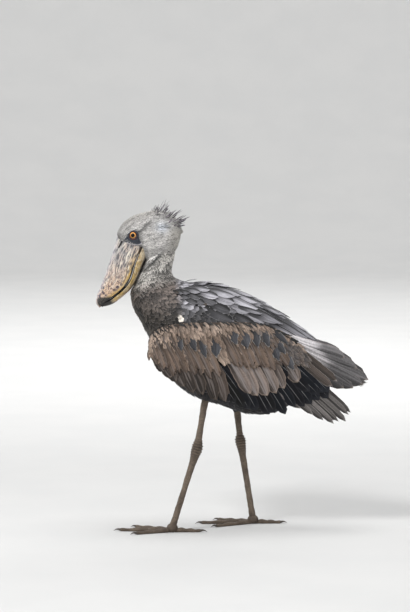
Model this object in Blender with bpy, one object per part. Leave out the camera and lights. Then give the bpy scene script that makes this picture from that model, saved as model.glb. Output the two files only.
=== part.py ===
"""A shoebill, a still life-size model that stands on both feet in mid step.

Metres, +Z up. The bird faces -X, so its left side is at -Y. The origin is on the floor, under the
middle of the whole model. Outlines are given as the bird is seen from its left side, in x and z.
"""

import math
import random

import bmesh
import bpy
import numpy as np
from mathutils import Matrix, Vector

# Clearance between neighbouring nodes, and the step used to measure slopes.
GAP = 0.0003
SLOPE_STEP = 0.0005
LEFT, RIGHT = -1, 1
SIDES = {"left": LEFT, "right": RIGHT}

# Neck and torso: ovals of top x, top z, bottom x, bottom z and half width, from the head to the tail.
BODY = (
    (-0.150, 0.862, -0.205, 0.812, 0.044),
    (-0.130, 0.806, -0.216, 0.764, 0.044),
    (-0.140, 0.762, -0.232, 0.724, 0.046),
    (-0.137, 0.738, -0.252, 0.690, 0.055),
    (-0.120, 0.726, -0.251, 0.648, 0.071),
    (-0.094, 0.718, -0.224, 0.597, 0.088),
    (-0.055, 0.713, -0.192, 0.538, 0.104),
    (0.000, 0.705, -0.150, 0.470, 0.116),
    (0.060, 0.686, -0.080, 0.408, 0.120),
    (0.120, 0.657, 0.010, 0.362, 0.114),
    (0.176, 0.622, 0.090, 0.338, 0.099),
    (0.228, 0.583, 0.166, 0.346, 0.078),
    (0.268, 0.550, 0.225, 0.388, 0.056),
    (0.297, 0.526, 0.268, 0.440, 0.036),
    (0.314, 0.511, 0.294, 0.466, 0.022),
)
BODY_RINGS, BODY_SIDES = 25, 20
BODY_SAG = 0.15
NECK_TORSO_CUT, TORSO_TAIL_CUT = 3.7, 12.7

# Head: ovals as for the body, from the face to the back of the skull.
HEAD = (
    (-0.298, 0.842, -0.243, 0.806, 0.036),
    (-0.295, 0.864, -0.228, 0.796, 0.046),
    (-0.280, 0.889, -0.213, 0.783, 0.053),
    (-0.252, 0.909, -0.197, 0.776, 0.058),
    (-0.216, 0.921, -0.180, 0.778, 0.061),
    (-0.180, 0.925, -0.162, 0.784, 0.060),
    (-0.147, 0.914, -0.142, 0.797, 0.053),
    (-0.126, 0.892, -0.127, 0.818, 0.039),
    (-0.117, 0.870, -0.119, 0.842, 0.018),
)
HEAD_RINGS, HEAD_SIDES = 17, 20
CHEEK_SAG = 0.10
HEAD_NECK_CUT = ((-0.110, 0.806), (-0.234, 0.752))

# Bill: each half runs from inside the head to its tip. Rows are the outer edge's x and z, the mouth
# line's x and z, and the half width.
UPPER_BILL = (
    (-0.2955, 0.858, -0.2235, 0.832, 0.042),
    (-0.301, 0.842, -0.228, 0.820, 0.046),
    (-0.313, 0.800, -0.241, 0.790, 0.050),
    (-0.325, 0.765, -0.251, 0.759, 0.051),
    (-0.337, 0.732, -0.260, 0.731, 0.050),
    (-0.347, 0.706, -0.277, 0.706, 0.045),
    (-0.355, 0.687, -0.302, 0.684, 0.035),
    (-0.3595, 0.670, -0.322, 0.669, 0.024),
    (-0.358, 0.656, -0.336, 0.660, 0.014),
    (-0.350, 0.645, -0.342, 0.651, 0.006),
)
LOWER_BILL = (
    (-0.2000, 0.806, -0.2225, 0.8315, 0.038),
    (-0.207, 0.793, -0.2268, 0.8195, 0.042),
    (-0.220, 0.768, -0.2398, 0.7894, 0.046),
    (-0.231, 0.743, -0.2496, 0.7582, 0.047),
    (-0.246, 0.716, -0.2586, 0.7296, 0.045),
    (-0.266, 0.692, -0.2760, 0.7048, 0.040),
    (-0.291, 0.670, -0.3012, 0.6828, 0.031),
    (-0.313, 0.655, -0.3212, 0.6678, 0.021),
    (-0.327, 0.651, -0.3315, 0.6600, 0.011),
)
BILL_RINGS, BILL_ARC = 17, 10
BILL_FULLNESS = 0.72
CULMEN_RIDGE, CULMEN_SPREAD = 0.07, 0.16
NOSTRIL_CENTRE, NOSTRIL_SIZE = (-0.2985, 0.8170), (0.0016, 0.012, 0.013)
NOSTRIL_Y = 0.020

# Eyes.
EYE_CENTRE = (-0.2505, 0.8580)
EYE_RADIUS, EYE_SUNK = 0.0124, 0.0085
LID_RING, LID_THICK, LID_INSET = 0.0122, 0.0028, 0.0012
LID_FACETS = (14, 4)
EYE_TURN = math.radians(14)
EYE_FACETS = (14, 8)

# Crest: rows of loft place along the head, number of feathers, half spread in degrees, length.
CREST_ROWS = (
    (4.7, 4, 26, 0.046),
    (5.3, 5, 42, 0.056),
    (5.9, 5, 54, 0.052),
    (6.5, 5, 64, 0.044),
    (7.1, 4, 70, 0.038),
)
CREST_HALF_WIDTH, CREST_THICK, CREST_ROOT = 0.0052, 0.0011, 0.007
CREST_STAND, CREST_SWEEP, CREST_CURL = 0.75, 0.90, (0.05, 0.22)

# Wing: its outer side is a long dome. Heights along it are measured from WING_START down its slope.
WING_START, WING_SLOPE = (-0.200, 0.560), math.radians(24)
WING_STEP, WING_FIRST = 0.065, -0.020
WING_HALF_WIDTHS = (0.084, 0.110, 0.125, 0.1295, 0.126, 0.116, 0.102, 0.086, 0.072, 0.060, 0.049, 0.042)
WING_MIDDLE, WING_UP, WING_DOWN, WING_DOME = 0.020, 0.205, 0.150, 2.15
WING_DOME_END = 0.97

# Folded arm: top x, top z, low x, low z and thickness, from the bend of the wing to the rear.
ARM = (
    (-0.202, 0.556, -0.203, 0.524, 0.010),
    (-0.190, 0.580, -0.195, 0.500, 0.015),
    (-0.152, 0.600, -0.166, 0.476, 0.020),
    (-0.090, 0.609, -0.110, 0.466, 0.021),
    (-0.020, 0.610, -0.040, 0.464, 0.021),
    (0.050, 0.610, 0.030, 0.466, 0.020),
    (0.110, 0.604, 0.095, 0.470, 0.018),
    (0.160, 0.586, 0.146, 0.478, 0.015),
    (0.200, 0.560, 0.190, 0.488, 0.011),
    (0.226, 0.535, 0.220, 0.500, 0.005),
)
ARM_RINGS, ARM_ACROSS = 13, 6
ARM_DEPTH = 0.020
ARM_LOW_EDGE, ARM_CREST_AT, ARM_TOP_EDGE = 0.14, 0.78, 0.45

# Tiers of wing feathers: number, line of roots, line of tips, half width, lift at root and tip.
# The greater coverts stand in a front and a rear fan, with dark flight feathers in the gap.
WING_TIERS = {
    "primary": (8, ((0.020, 0.482), (0.170, 0.500)),
                ((0.205, 0.372), (0.250, 0.348), (0.305, 0.322), (0.347, 0.320), (0.374, 0.340)),
                0.0140, 0.0012, 0.0012),
    "secondary": (9, ((-0.060, 0.486), (0.190, 0.508)),
                  ((0.030, 0.388), (0.085, 0.364), (0.160, 0.350), (0.240, 0.366), (0.310, 0.392)),
                  0.0195, 0.0048, 0.0048),
    "greater_front": (6, ((-0.166, 0.500), (-0.006, 0.506)),
                      ((-0.134, 0.452), (-0.094, 0.421), (-0.044, 0.398), (0.020, 0.383)),
                      0.0205, 0.0084, 0.0084),
    "greater_rear": (5, ((0.040, 0.508), (0.150, 0.516)),
                     ((0.096, 0.402), (0.150, 0.404), (0.188, 0.420), (0.221, 0.440)),
                     0.0190, 0.0084, 0.0084),
    "median": (9, ((-0.176, 0.530), (0.150, 0.538)),
               ((-0.158, 0.482), (-0.090, 0.466), (0.000, 0.460), (0.090, 0.468), (0.190, 0.486)),
               0.0205, 0.0120, 0.0120),
    "lesser": (8, ((-0.172, 0.558), (0.150, 0.562)),
               ((-0.160, 0.520), (-0.080, 0.512), (0.020, 0.512), (0.120, 0.514), (0.182, 0.524)),
               0.0205, 0.0152, 0.0156),
    "tertial": (6, ((0.150, 0.538), (0.190, 0.560)),
                ((0.326, 0.424), (0.385, 0.414), (0.424, 0.420), (0.424, 0.440), (0.392, 0.474), (0.348, 0.506)),
                0.0165, 0.0060, 0.0085),
}
VANE_THICK = 0.0011
SHINGLE = 0.0014

# Scapulars and mantle: first and last place along the body, degrees above the side and their drop,
# reach along the body, half width, lift at root and tip, and number a side in the row.
SCAPULAR_ROWS = (
    (5.1, 7.7, 48, 1, 1.35, 0.021, -0.002, 0.0056, 4),
    (5.5, 8.4, 66, 4, 1.35, 0.021, -0.002, 0.0064, 4),
    (8.4, 9.5, 60, -8, 1.55, 0.018, -0.002, 0.0080, 3),
    (8.8, 10.3, 79, -3, 1.90, 0.016, -0.002, 0.0105, 3),
)

# Tail: feathers in a shallow arch.
TAIL_FEATHERS = 12
TAIL_ROOT, TAIL_TIP = (0.287, 0.493), (0.430, 0.428)
TAIL_ROOT_STEP, TAIL_TIP_STEP = 0.0026, 0.0040
TAIL_HALF_WIDTH, TAIL_LAYER, TAIL_ARCH = 0.0120, 0.0017, 0.0016
TAIL_SHORTEN = 0.0022

# Legs: ankle and foot places as x, y outwards and, for the ankle, the lean of the shank.
SHANK = 0.242
LEGS = {
    "left": {"hip": (-0.016, 0.062, 0.480), "knee": (-0.045, 0.062, 0.372),
             "foot": (-0.138, 0.072), "ankle": (-0.066, 0.062), "toe_turn": math.radians(6)},
    "right": {"hip": (0.030, 0.062, 0.440), "knee": (0.052, 0.062, 0.326),
              "foot": (0.098, 0.086), "ankle": (0.060, 0.066), "toe_turn": math.radians(-4)},
}
THIGH_RADII = (0.052, 0.043, 0.027, 0.0135)
THIGH_END = 0.97
HUB_RADIUS, HUB_HEIGHT, HUB_SWELL, HUB_FACETS = 0.0160, 0.0125, 1.1, (12, 8)
# Shares of the way and radii: hip to knee, ankle to knee from above, and ankle to foot.
HIP_RADII = ((0.20, 0.0079), (1.00, 0.0099))
TIBIA_RADII = ((0.55, 0.0084), (0.22, 0.0093), (0.10, 0.0131), (0.03, 0.0152))
TARSUS_RADII = ((0.03, 0.0152), (0.09, 0.0128), (0.20, 0.0096), (0.50, 0.0083), (0.85, 0.0086), (1.00, 0.0103))

# Toes: degrees from straight ahead, length and base radius. Claws follow them.
TOES = {
    "middle": (0.0, 0.150, 0.0078),
    "inner": (-31.0, 0.112, 0.0070),
    "outer": (29.0, 0.128, 0.0072),
    "hind": (176.0, 0.080, 0.0072),
}
TOE_TIP_RADIUS, TOE_FLAT, TOE_SWELL = 0.0046, 0.0012, 0.10
CLAW_LENGTH, CLAW_RADIUS, CLAW_DROP = 0.0210, 0.0040, 0.0008
CLAW_ARCH, CLAW_ROOT = 0.0022, 0.0020
TOE_PADS, CLAW_STEPS = 3, 3

MATERIALS = {
    "grey_feather": ((0.145, 0.145, 0.155), 0.62),
    "pale_feather": ((0.270, 0.270, 0.275), 0.65),
    "brown_feather": ((0.150, 0.115, 0.095), 0.70),
    "dark_feather": ((0.050, 0.054, 0.065), 0.60),
    "bill_horn": ((0.450, 0.360, 0.220), 0.42),
    "leg_skin": ((0.130, 0.092, 0.078), 0.62),
    "claw_horn": ((0.060, 0.050, 0.045), 0.35),
    "eye_amber": ((0.780, 0.330, 0.060), 0.10),
}


def clear_scene():
    for obj in list(bpy.data.objects):
        bpy.data.objects.remove(obj)


def make_materials():
    made = {}
    for name, (colour, roughness) in MATERIALS.items():
        material = bpy.data.materials.new(name)
        material.use_nodes = True
        shader = material.node_tree.nodes["Principled BSDF"]
        shader.inputs["Base Color"].default_value = (*colour, 1.0)
        shader.inputs["Roughness"].default_value = roughness
        shader.inputs["Metallic"].default_value = 0.0
        made[name] = material
    return made


def smooth_row(rows, t):
    """The row at place t of a smooth curve through rows; t runs from 0 to the last row's number."""
    rows = np.asarray(rows, float)
    last = len(rows) - 1
    t = min(max(t, 0.0), float(last))
    i = min(int(t), last - 1)
    f = t - i
    a, b = rows[i], rows[i + 1]
    before = rows[i - 1] if i else 2 * a - b
    after = rows[i + 2] if i + 2 <= last else 2 * b - a
    cubic = 3 * (a - b) + after - before
    return a + 0.5 * f * (b - before + f * (2 * before - 5 * a + 4 * b - after + f * cubic))


class Ovals:
    """A smooth round body through ovals. Angle 0 is the right side, and a quarter turn is the top."""

    def __init__(self, rows, sag=0.0, grow=0.0):
        self.rows, self.sag, self.grow = rows, sag, grow
        self.last = len(rows) - 1

    def section(self, t):
        """Centre, half height vector and half width at place t."""
        top_x, top_z, low_x, low_z, half = smooth_row(self.rows, t)
        centre = Vector(((top_x + low_x) / 2, 0, (top_z + low_z) / 2))
        up = Vector(((top_x - low_x) / 2, 0, (top_z - low_z) / 2))
        return centre, up * (1 + self.grow / up.length), half + self.grow

    def on(self, t, angle):
        centre, up, half = self.section(t)
        rise = math.sin(angle)
        out = half * math.cos(angle) * (1 - self.sag * rise)
        return centre + up * rise + Vector((0, out, 0))

    def lifted(self, t, angle, lift):
        """The point at that place, lifted off the surface."""
        step = 0.02
        here = self.on(t, angle)
        along = self.on(min(t + step, self.last), angle) - self.on(max(t - step, 0), angle)
        across = self.on(t, angle + step) - self.on(t, angle - step)
        normal = along.cross(across).normalized()
        if normal.dot(here - self.section(t)[0]) < 0:
            normal.negate()
        return here + normal * lift

    def place(self, x, z):
        """The t and angle above the side where the surface passes over x, z."""
        best = None
        for i in range(self.last * 40 + 1):
            t = i / 40
            centre, up, _ = self.section(t)
            offset = Vector((x, 0, z)) - centre
            miss = abs(offset.x * up.z - offset.z * up.x) / up.length
            rise = offset.dot(up) / up.length_squared
            if abs(rise) <= 1 and (best is None or miss < best[0]):
                best = (miss, t, math.asin(rise))
        return best[1], best[2]

    def plane(self, t):
        """A point and a normal, towards the rear, of the plane through the oval at t."""
        centre, up, _ = self.section(t)
        return centre, Vector((up.z, 0, -up.x)).normalized()

    def rings(self, count, sides, first=0.0):
        places = [first + (self.last - first) * i / (count - 1) for i in range(count)]
        turns = [2 * math.pi * k / sides for k in range(sides)]
        return [[self.on(t, a) for a in turns] for t in places]


def new_object(name, mesh):
    obj = bpy.data.objects.new(name, mesh)
    bpy.context.scene.collection.objects.link(obj)
    return obj


def mesh_object(name, points, faces):
    mesh = bpy.data.meshes.new(name)
    mesh.from_pydata([tuple(p) for p in points], [], faces)
    shape = bmesh.new()
    shape.from_mesh(mesh)
    bmesh.ops.recalc_face_normals(shape, faces=shape.faces)
    shape.to_mesh(mesh)
    shape.free()
    return new_object(name, mesh)


def lofted(name, rings):
    """A closed body through rings of equally many points, with a flat face on each end."""
    size = len(rings[0])
    points = [p for ring in rings for p in ring]
    faces = [tuple(range(size)), tuple(range(len(points) - size, len(points)))]
    for i in range(len(rings) - 1):
        for k in range(size):
            a, b = i * size + k, i * size + (k + 1) % size
            faces += [(a, b, b + size), (a, b + size, a + size)]
    return mesh_object(name, points, faces)


def applied(obj):
    """obj as a plain mesh, with its modifiers or its curve made real and its doubles welded."""
    bpy.context.view_layer.update()
    graph = bpy.context.evaluated_depsgraph_get()
    mesh = bpy.data.meshes.new_from_object(obj.evaluated_get(graph))
    made = bpy.data.objects.new(obj.name + "_mesh", mesh)
    bpy.context.scene.collection.objects.link(made)
    made.matrix_world = obj.matrix_world
    name = obj.name
    bpy.data.objects.remove(obj)
    made.name = name
    shape = bmesh.new()
    shape.from_mesh(mesh)
    bmesh.ops.remove_doubles(shape, verts=shape.verts, dist=1e-6)
    shape.to_mesh(mesh)
    shape.free()
    return made


def move_to(obj, group):
    for holder in list(obj.users_collection):
        holder.objects.unlink(obj)
    group.objects.link(obj)


def fuse(obj, pieces, solver="MANIFOLD"):
    """obj joined with pieces by one Boolean union. The pieces are removed."""
    group = bpy.data.collections.new(obj.name + "_pieces")
    bpy.context.scene.collection.children.link(group)
    for piece in pieces:
        move_to(piece, group)
    join = obj.modifiers.new("join", "BOOLEAN")
    join.operation, join.operand_type, join.collection, join.solver = "UNION", "COLLECTION", group, solver
    obj = applied(obj)
    for piece in pieces:
        bpy.data.objects.remove(piece)
    bpy.data.collections.remove(group)
    return obj


def carve(obj, cutter, solver="MANIFOLD"):
    """obj with the cutter's shape taken out of it. The cutter is removed."""
    cut = obj.modifiers.new("cut", "BOOLEAN")
    cut.operation, cut.object, cut.solver = "DIFFERENCE", cutter, solver
    obj = applied(obj)
    bpy.data.objects.remove(cutter)
    return obj


def sliced(obj, point, normal):
    """obj without what lies on the normal's side of the plane, closed with a flat face."""
    shape = bmesh.new()
    shape.from_mesh(obj.data)
    geometry = shape.verts[:] + shape.edges[:] + shape.faces[:]
    cut = bmesh.ops.bisect_plane(shape, geom=geometry, plane_co=point, plane_no=normal, clear_outer=True)
    rim = [e for e in cut["geom_cut"] if isinstance(e, bmesh.types.BMEdge)]
    bmesh.ops.edgenet_fill(shape, edges=rim)
    bmesh.ops.recalc_face_normals(shape, faces=shape.faces)
    shape.to_mesh(obj.data)
    shape.free()
    return obj


def copied(obj, name):
    return new_object(name, obj.data.copy())


def volume_of(faces):
    total = 0.0
    for face in faces:
        corners = [v.co for v in face.verts]
        for i in range(1, len(corners) - 1):
            total += corners[0].dot(corners[i].cross(corners[i + 1])) / 6
    return abs(total)


def keep_largest(obj):
    """Drops every closed surface of obj but the one that holds most."""
    shape = bmesh.new()
    shape.from_mesh(obj.data)
    left, shells = set(shape.faces), []
    while left:
        shell, front = set(), [next(iter(left))]
        while front:
            face = front.pop()
            if face in shell:
                continue
            shell.add(face)
            front.extend(f for e in face.edges for f in e.link_faces if f not in shell)
        shells.append(shell)
        left -= shell
    shells.sort(key=volume_of)
    loose = [face for shell in shells[:-1] for face in shell]
    bmesh.ops.delete(shape, geom=loose, context="FACES")
    shape.to_mesh(obj.data)
    shape.free()
    return obj


def tube(name, points, radii, resolution=2):
    """A round rod through points, its radius changing along it."""
    curve = bpy.data.curves.new(name, "CURVE")
    curve.dimensions, curve.bevel_depth = "3D", 1.0
    curve.bevel_resolution, curve.use_fill_caps = resolution, True
    spline = curve.splines.new("POLY")
    spline.points.add(len(points) - 1)
    for knot, point, radius in zip(spline.points, points, radii):
        knot.co, knot.radius = (*point, 1.0), radius
    obj = bpy.data.objects.new(name, curve)
    bpy.context.scene.collection.objects.link(obj)
    return applied(obj)


def ball(name, centre, radii, segments=16, rings=10):
    shape = bmesh.new()
    bmesh.ops.create_uvsphere(shape, u_segments=segments, v_segments=rings, radius=1.0)
    bmesh.ops.scale(shape, vec=Vector(radii), verts=shape.verts)
    mesh = bpy.data.meshes.new(name)
    shape.to_mesh(mesh)
    shape.free()
    mesh.transform(Matrix.Translation(Vector(centre)))
    return new_object(name, mesh)


# A vane's outline: places along it and its share of the full width there.
VANE_PLACES, VANE_OUTLINE = (0.0, 0.30, 0.62, 0.88, 1.0), (0.34, 0.82, 1.0, 0.80, 0.22)
SHORT_PLACES, SHORT_OUTLINE = (0.0, 0.45, 0.84, 1.0), (0.46, 1.0, 0.86, 0.30)


def vane(name, place, half_width, thick, short=False):
    """One closed feather blade. place(t, u, lift) is the point t along it, u metres across and lifted.

    Both faces are split into triangles alike, so that they never cross where the blade bends.
    """
    places, outline = (SHORT_PLACES, SHORT_OUTLINE) if short else (VANE_PLACES, VANE_OUTLINE)
    points = []
    for t, share in zip(places, outline):
        half, rise = half_width * share, thick * (1 - 0.4 * t) / 2
        points += [place(t, u, lift) for u, lift in ((-half, rise), (half, rise), (half, -rise), (-half, -rise))]
    faces = [(0, 1, 2, 3)]
    for a in range(0, 4 * (len(places) - 1), 4):
        b = a + 4
        faces += [(a, a + 1, b + 1), (a, b + 1, b), (a + 3, b + 2, a + 2), (a + 3, b + 3, b + 2)]
        faces += [(a + 1, a + 2, b + 2), (a + 1, b + 2, b + 1), (a, b, b + 3), (a, b + 3, a + 3)]
    end = 4 * (len(places) - 1)
    faces.append((end, end + 1, end + 2, end + 3))
    return mesh_object(name, points, faces)


def on_line(line, share):
    """The point at that share of the way along a line of points."""
    return smooth_row(line, share * (len(line) - 1))


def wing_out(x, z):
    """How far the wing's outer side stands from the middle plane, over x, z."""
    dx, dz = x - WING_START[0], z - WING_START[1]
    along = dx * math.cos(WING_SLOPE) - dz * math.sin(WING_SLOPE)
    across = dx * math.sin(WING_SLOPE) + dz * math.cos(WING_SLOPE) - WING_MIDDLE
    half = smooth_row(WING_HALF_WIDTHS, (along - WING_FIRST) / WING_STEP)
    share = min(abs(across) / (WING_UP if across > 0 else WING_DOWN), WING_DOME_END)
    return float(half) * (1 - share ** WING_DOME) ** (1 / WING_DOME)


def on_wing(x, z, lift, side):
    out = wing_out(x, z)
    slope_x = (wing_out(x + SLOPE_STEP, z) - out) / SLOPE_STEP
    slope_z = (wing_out(x, z + SLOPE_STEP) - out) / SLOPE_STEP
    point = Vector((x, out, z)) + Vector((-slope_x, 1.0, -slope_z)).normalized() * lift
    point.y *= side
    return point


def arm_bulge(share):
    """Thickness of the folded arm at that share of its height, from its low edge."""
    if share < ARM_CREST_AT:
        return ARM_LOW_EDGE + (1 - ARM_LOW_EDGE) * math.sin(share / ARM_CREST_AT * math.pi / 2)
    fall = (share - ARM_CREST_AT) / (1 - ARM_CREST_AT)
    return 1 - (1 - ARM_TOP_EDGE) * fall * fall


def make_arm(name, side):
    """The folded arm, a pad on the flank that the wing feathers grow from."""
    rings = []
    for i in range(ARM_RINGS):
        top_x, top_z, low_x, low_z, thick = smooth_row(ARM, i * (len(ARM) - 1) / (ARM_RINGS - 1))
        shares = [k / ARM_ACROSS for k in range(ARM_ACROSS + 1)]
        ring = []
        for share in shares:
            x, z = low_x + (top_x - low_x) * share, low_z + (top_z - low_z) * share
            ring.append(on_wing(x, z, thick * arm_bulge(share), side))
        for share in reversed(shares):
            x, z = low_x + (top_x - low_x) * share, low_z + (top_z - low_z) * share
            ring.append(on_wing(x, z, -ARM_DEPTH * min(1.0, 2 * share), side))
        rings.append(ring)
    return lofted(name, rings)


def wing_vane(name, root, tip, half_width, lifts, tilt, side, short):
    """A feather on the wing's outer side, seen from the side as a straight blade from root to tip."""
    root, tip = np.asarray(root), np.asarray(tip)
    run = (tip - root) / np.linalg.norm(tip - root)
    across = np.array((-run[1], run[0]))

    def place(t, u, lift):
        x, z = root + (tip - root) * t + across * u
        settled = lifts[0] + (lifts[1] - lifts[0]) * t + tilt * u / half_width * min(1.0, 3 * t)
        return on_wing(x, z, settled + lift, side)

    return vane(name, place, half_width, VANE_THICK, short)


def make_wing(word, side, shades):
    name = "wing_" + word
    draw = random.Random(11 if side == LEFT else 23)
    feathers = []
    for tier, (count, roots, tips, half_width, low, high) in WING_TIERS.items():
        for k in range(count):
            share = k / (count - 1)
            root, tip = on_line(roots, share), on_line(tips, share)
            tip = tip + (tip - root) * draw.uniform(-0.05, 0.05)
            width = half_width * draw.uniform(0.93, 1.07)
            feathers.append(wing_vane(f"{tier}_{k}", root, tip, width, (low, high), SHINGLE, side,
                                      tier != "tertial"))
    wing = fuse(make_arm(name, side), feathers)
    wing = carve(wing, lofted("flank", Ovals(BODY, BODY_SAG, GAP).rings(BODY_RINGS, BODY_SIDES)))
    return finished(keep_largest(wing), name, shades["brown_feather"])


def finished(obj, name, material):
    """The node's last step: its name, its one material and smooth shading with sharp edges."""
    obj.name = obj.data.name = name
    obj.data.materials.clear()
    obj.data.materials.append(material)
    obj.data.shade_smooth()
    obj.data.set_sharp_from_angle(angle=math.radians(40))
    return obj


def bill_ring(row, grow=0.0):
    """One section of a bill half: an arch with a low ridge over a flat side at the mouth line."""
    outer, mouth, half = Vector((row[0], 0, row[1])), Vector((row[2], 0, row[3])), row[4] + grow
    up = outer - mouth
    mouth = mouth - up.normalized() * grow
    up = up * (1 + 2 * grow / up.length)
    ring = []
    for k in range(BILL_ARC + 1):
        angle = math.pi * k / BILL_ARC
        across = math.cos(angle)
        ridge = CULMEN_RIDGE * math.exp(-(across / CULMEN_SPREAD) ** 2)
        rise = (abs(math.sin(angle)) ** BILL_FULLNESS + ridge) / (1 + CULMEN_RIDGE)
        ring.append(mouth + up * rise + Vector((0, half * across, 0)))
    return ring


def bill_half(name, rows, grow=0.0):
    last = len(rows) - 1
    rings = [bill_ring(smooth_row(rows, last * i / (BILL_RINGS - 1)), grow) for i in range(BILL_RINGS)]
    back = (rings[0][0] - rings[1][0]).normalized() * 2 * grow
    rings[0] = [p + back for p in rings[0]]
    return lofted(name, rings)


def make_bill(shades):
    upper = bill_half("upper_bill", UPPER_BILL)
    for side in SIDES.values():
        slit = ball("nostril", (0, 0, 0), NOSTRIL_SIZE, 12, 6)
        lean = math.atan2(UPPER_BILL[2][0] - UPPER_BILL[1][0], UPPER_BILL[2][1] - UPPER_BILL[1][1])
        slit.data.transform(Matrix.Rotation(lean, 4, "Y"))
        slit.data.transform(Matrix.Translation(Vector((NOSTRIL_CENTRE[0], side * NOSTRIL_Y, NOSTRIL_CENTRE[1]))))
        upper = carve(upper, slit)
    upper = carve(upper, bill_half("mouth", LOWER_BILL, GAP))
    finished(keep_largest(upper), "upper_bill", shades["bill_horn"])
    finished(bill_half("lower_bill", LOWER_BILL), "lower_bill", shades["bill_horn"])


def eye_frame(side):
    """Where an eye's middle is, and the way it looks."""
    t, rise = Ovals(HEAD, CHEEK_SAG).place(*EYE_CENTRE)
    surface = Ovals(HEAD, CHEEK_SAG).on(t, rise)
    look = Vector((-math.sin(EYE_TURN), side * math.cos(EYE_TURN), 0))
    return Vector((surface.x, side * surface.y, surface.z)) - look * EYE_SUNK, look


def make_lids(side):
    centre, look = eye_frame(side)
    bpy.ops.mesh.primitive_torus_add(major_segments=LID_FACETS[0], minor_segments=LID_FACETS[1],
                                     major_radius=LID_RING, minor_radius=LID_THICK)
    lids = bpy.context.active_object
    lids.data.transform(look.to_track_quat("Z", "Y").to_matrix().to_4x4())
    lids.data.transform(Matrix.Translation(centre + look * (EYE_SUNK - LID_INSET)))
    return lids


def make_crest():
    """Loose feathers that stand up and back from the hind crown, longest in the middle."""
    draw, skull, feathers = random.Random(5), Ovals(HEAD, CHEEK_SAG), []
    for place, count, spread, length in CREST_ROWS:
        for k in range(count):
            share = 2 * k / (count - 1) - 1
            angle = math.radians(90 + spread * share)
            root = skull.lifted(place, angle, -CREST_ROOT)
            out = (skull.lifted(place, angle, 0.01) - root).normalized()
            back = Vector((1.0, 0.10 * draw.uniform(-1, 1), 0.10 + 0.15 * draw.uniform(-1, 1)))
            run = (out * CREST_STAND + back.normalized() * CREST_SWEEP).normalized()
            side = run.cross(out).normalized()
            size = (length + CREST_ROOT) * (1 - 0.25 * share * share) * draw.uniform(0.85, 1.15)
            curl = draw.uniform(*CREST_CURL)

            def at(t, u, lift, root=root, run=run, side=side, size=size, curl=curl, out=out):
                bend = Vector((0.5, 0, -1.0)) * curl * size * t * t
                return root + run * size * t + bend + side * u + run.cross(side) * lift

            feathers.append(vane(f"crest_{place}_{k}", at, CREST_HALF_WIDTH, CREST_THICK, True))
    return feathers


def make_head_and_body(shades):
    skull = lofted("head", Ovals(HEAD, CHEEK_SAG).rings(HEAD_RINGS, HEAD_SIDES))
    whole = fuse(skull, [lofted("trunk", Ovals(BODY, BODY_SAG).rings(BODY_RINGS, BODY_SIDES))])
    nape, chin = (Vector((x, 0, z)) for x, z in HEAD_NECK_CUT)
    ahead = (nape - chin).normalized()
    above = Vector((-ahead.z, 0, ahead.x))
    breast, behind_breast = Ovals(BODY, BODY_SAG).plane(NECK_TORSO_CUT)
    rump, behind_rump = Ovals(BODY, BODY_SAG).plane(TORSO_TAIL_CUT)
    half_gap = GAP / 2

    head = sliced(copied(whole, "head_part"), nape + above * half_gap, -above)
    neck = sliced(copied(whole, "neck_part"), nape - above * half_gap, above)
    neck = sliced(neck, breast - behind_breast * half_gap, behind_breast)
    torso = sliced(copied(whole, "torso_part"), breast + behind_breast * half_gap, -behind_breast)
    torso = sliced(torso, rump - behind_rump * half_gap, behind_rump)
    tail = sliced(copied(whole, "tail_part"), rump + behind_rump * half_gap, -behind_rump)
    bpy.data.objects.remove(whole)

    head = fuse(keep_largest(head), make_crest() + [make_lids(s) for s in SIDES.values()])
    for side in SIDES.values():
        head = carve(head, ball("socket", eye_frame(side)[0], (EYE_RADIUS + GAP,) * 3, *EYE_FACETS))
    for rows in (UPPER_BILL, LOWER_BILL):
        head = carve(head, bill_half("bill_bed", rows, GAP))
    finished(keep_largest(head), "head", shades["pale_feather"])
    neck = carve(neck, bill_half("bill_bed", LOWER_BILL, GAP))
    finished(keep_largest(neck), "neck", shades["grey_feather"])
    torso = fuse(keep_largest(torso), make_scapulars())
    finished(keep_largest(torso), "torso", shades["grey_feather"])
    tail = fuse(keep_largest(tail), make_tail_feathers())
    finished(keep_largest(tail), "tail", shades["grey_feather"])


def body_vane(name, start, rise, reach, drop, half_width, lifts, side):
    """A feather laid along the body, from place start for that reach, rise degrees above the side."""
    trunk = Ovals(BODY, BODY_SAG)

    def place(t, u, lift):
        at = start + reach * t
        level = math.radians(rise - drop * t)
        radius = trunk.section(at)[1].length
        level += u / radius
        settled = lifts[0] + (lifts[1] - lifts[0]) * min(1.0, 2.2 * t)
        settled += SHINGLE * u / half_width
        return trunk.lifted(at, level if side == RIGHT else math.pi - level, settled + lift)

    return vane(name, place, half_width, VANE_THICK)


def make_scapulars():
    draw, feathers = random.Random(31), []
    for word, side in SIDES.items():
        for row, (first, last, rise, drop, reach, half_width, low, high, count) in enumerate(SCAPULAR_ROWS):
            for k in range(count):
                start = first + (last - first) * k / (count - 1)
                layer = high + 0.0022 * (count - 1 - k)
                feathers.append(body_vane(f"scapular_{word}_{row}_{k}", start, rise + draw.uniform(-2, 2),
                                          reach * draw.uniform(0.92, 1.08), drop, half_width,
                                          (low, layer), side))
    return feathers


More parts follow.
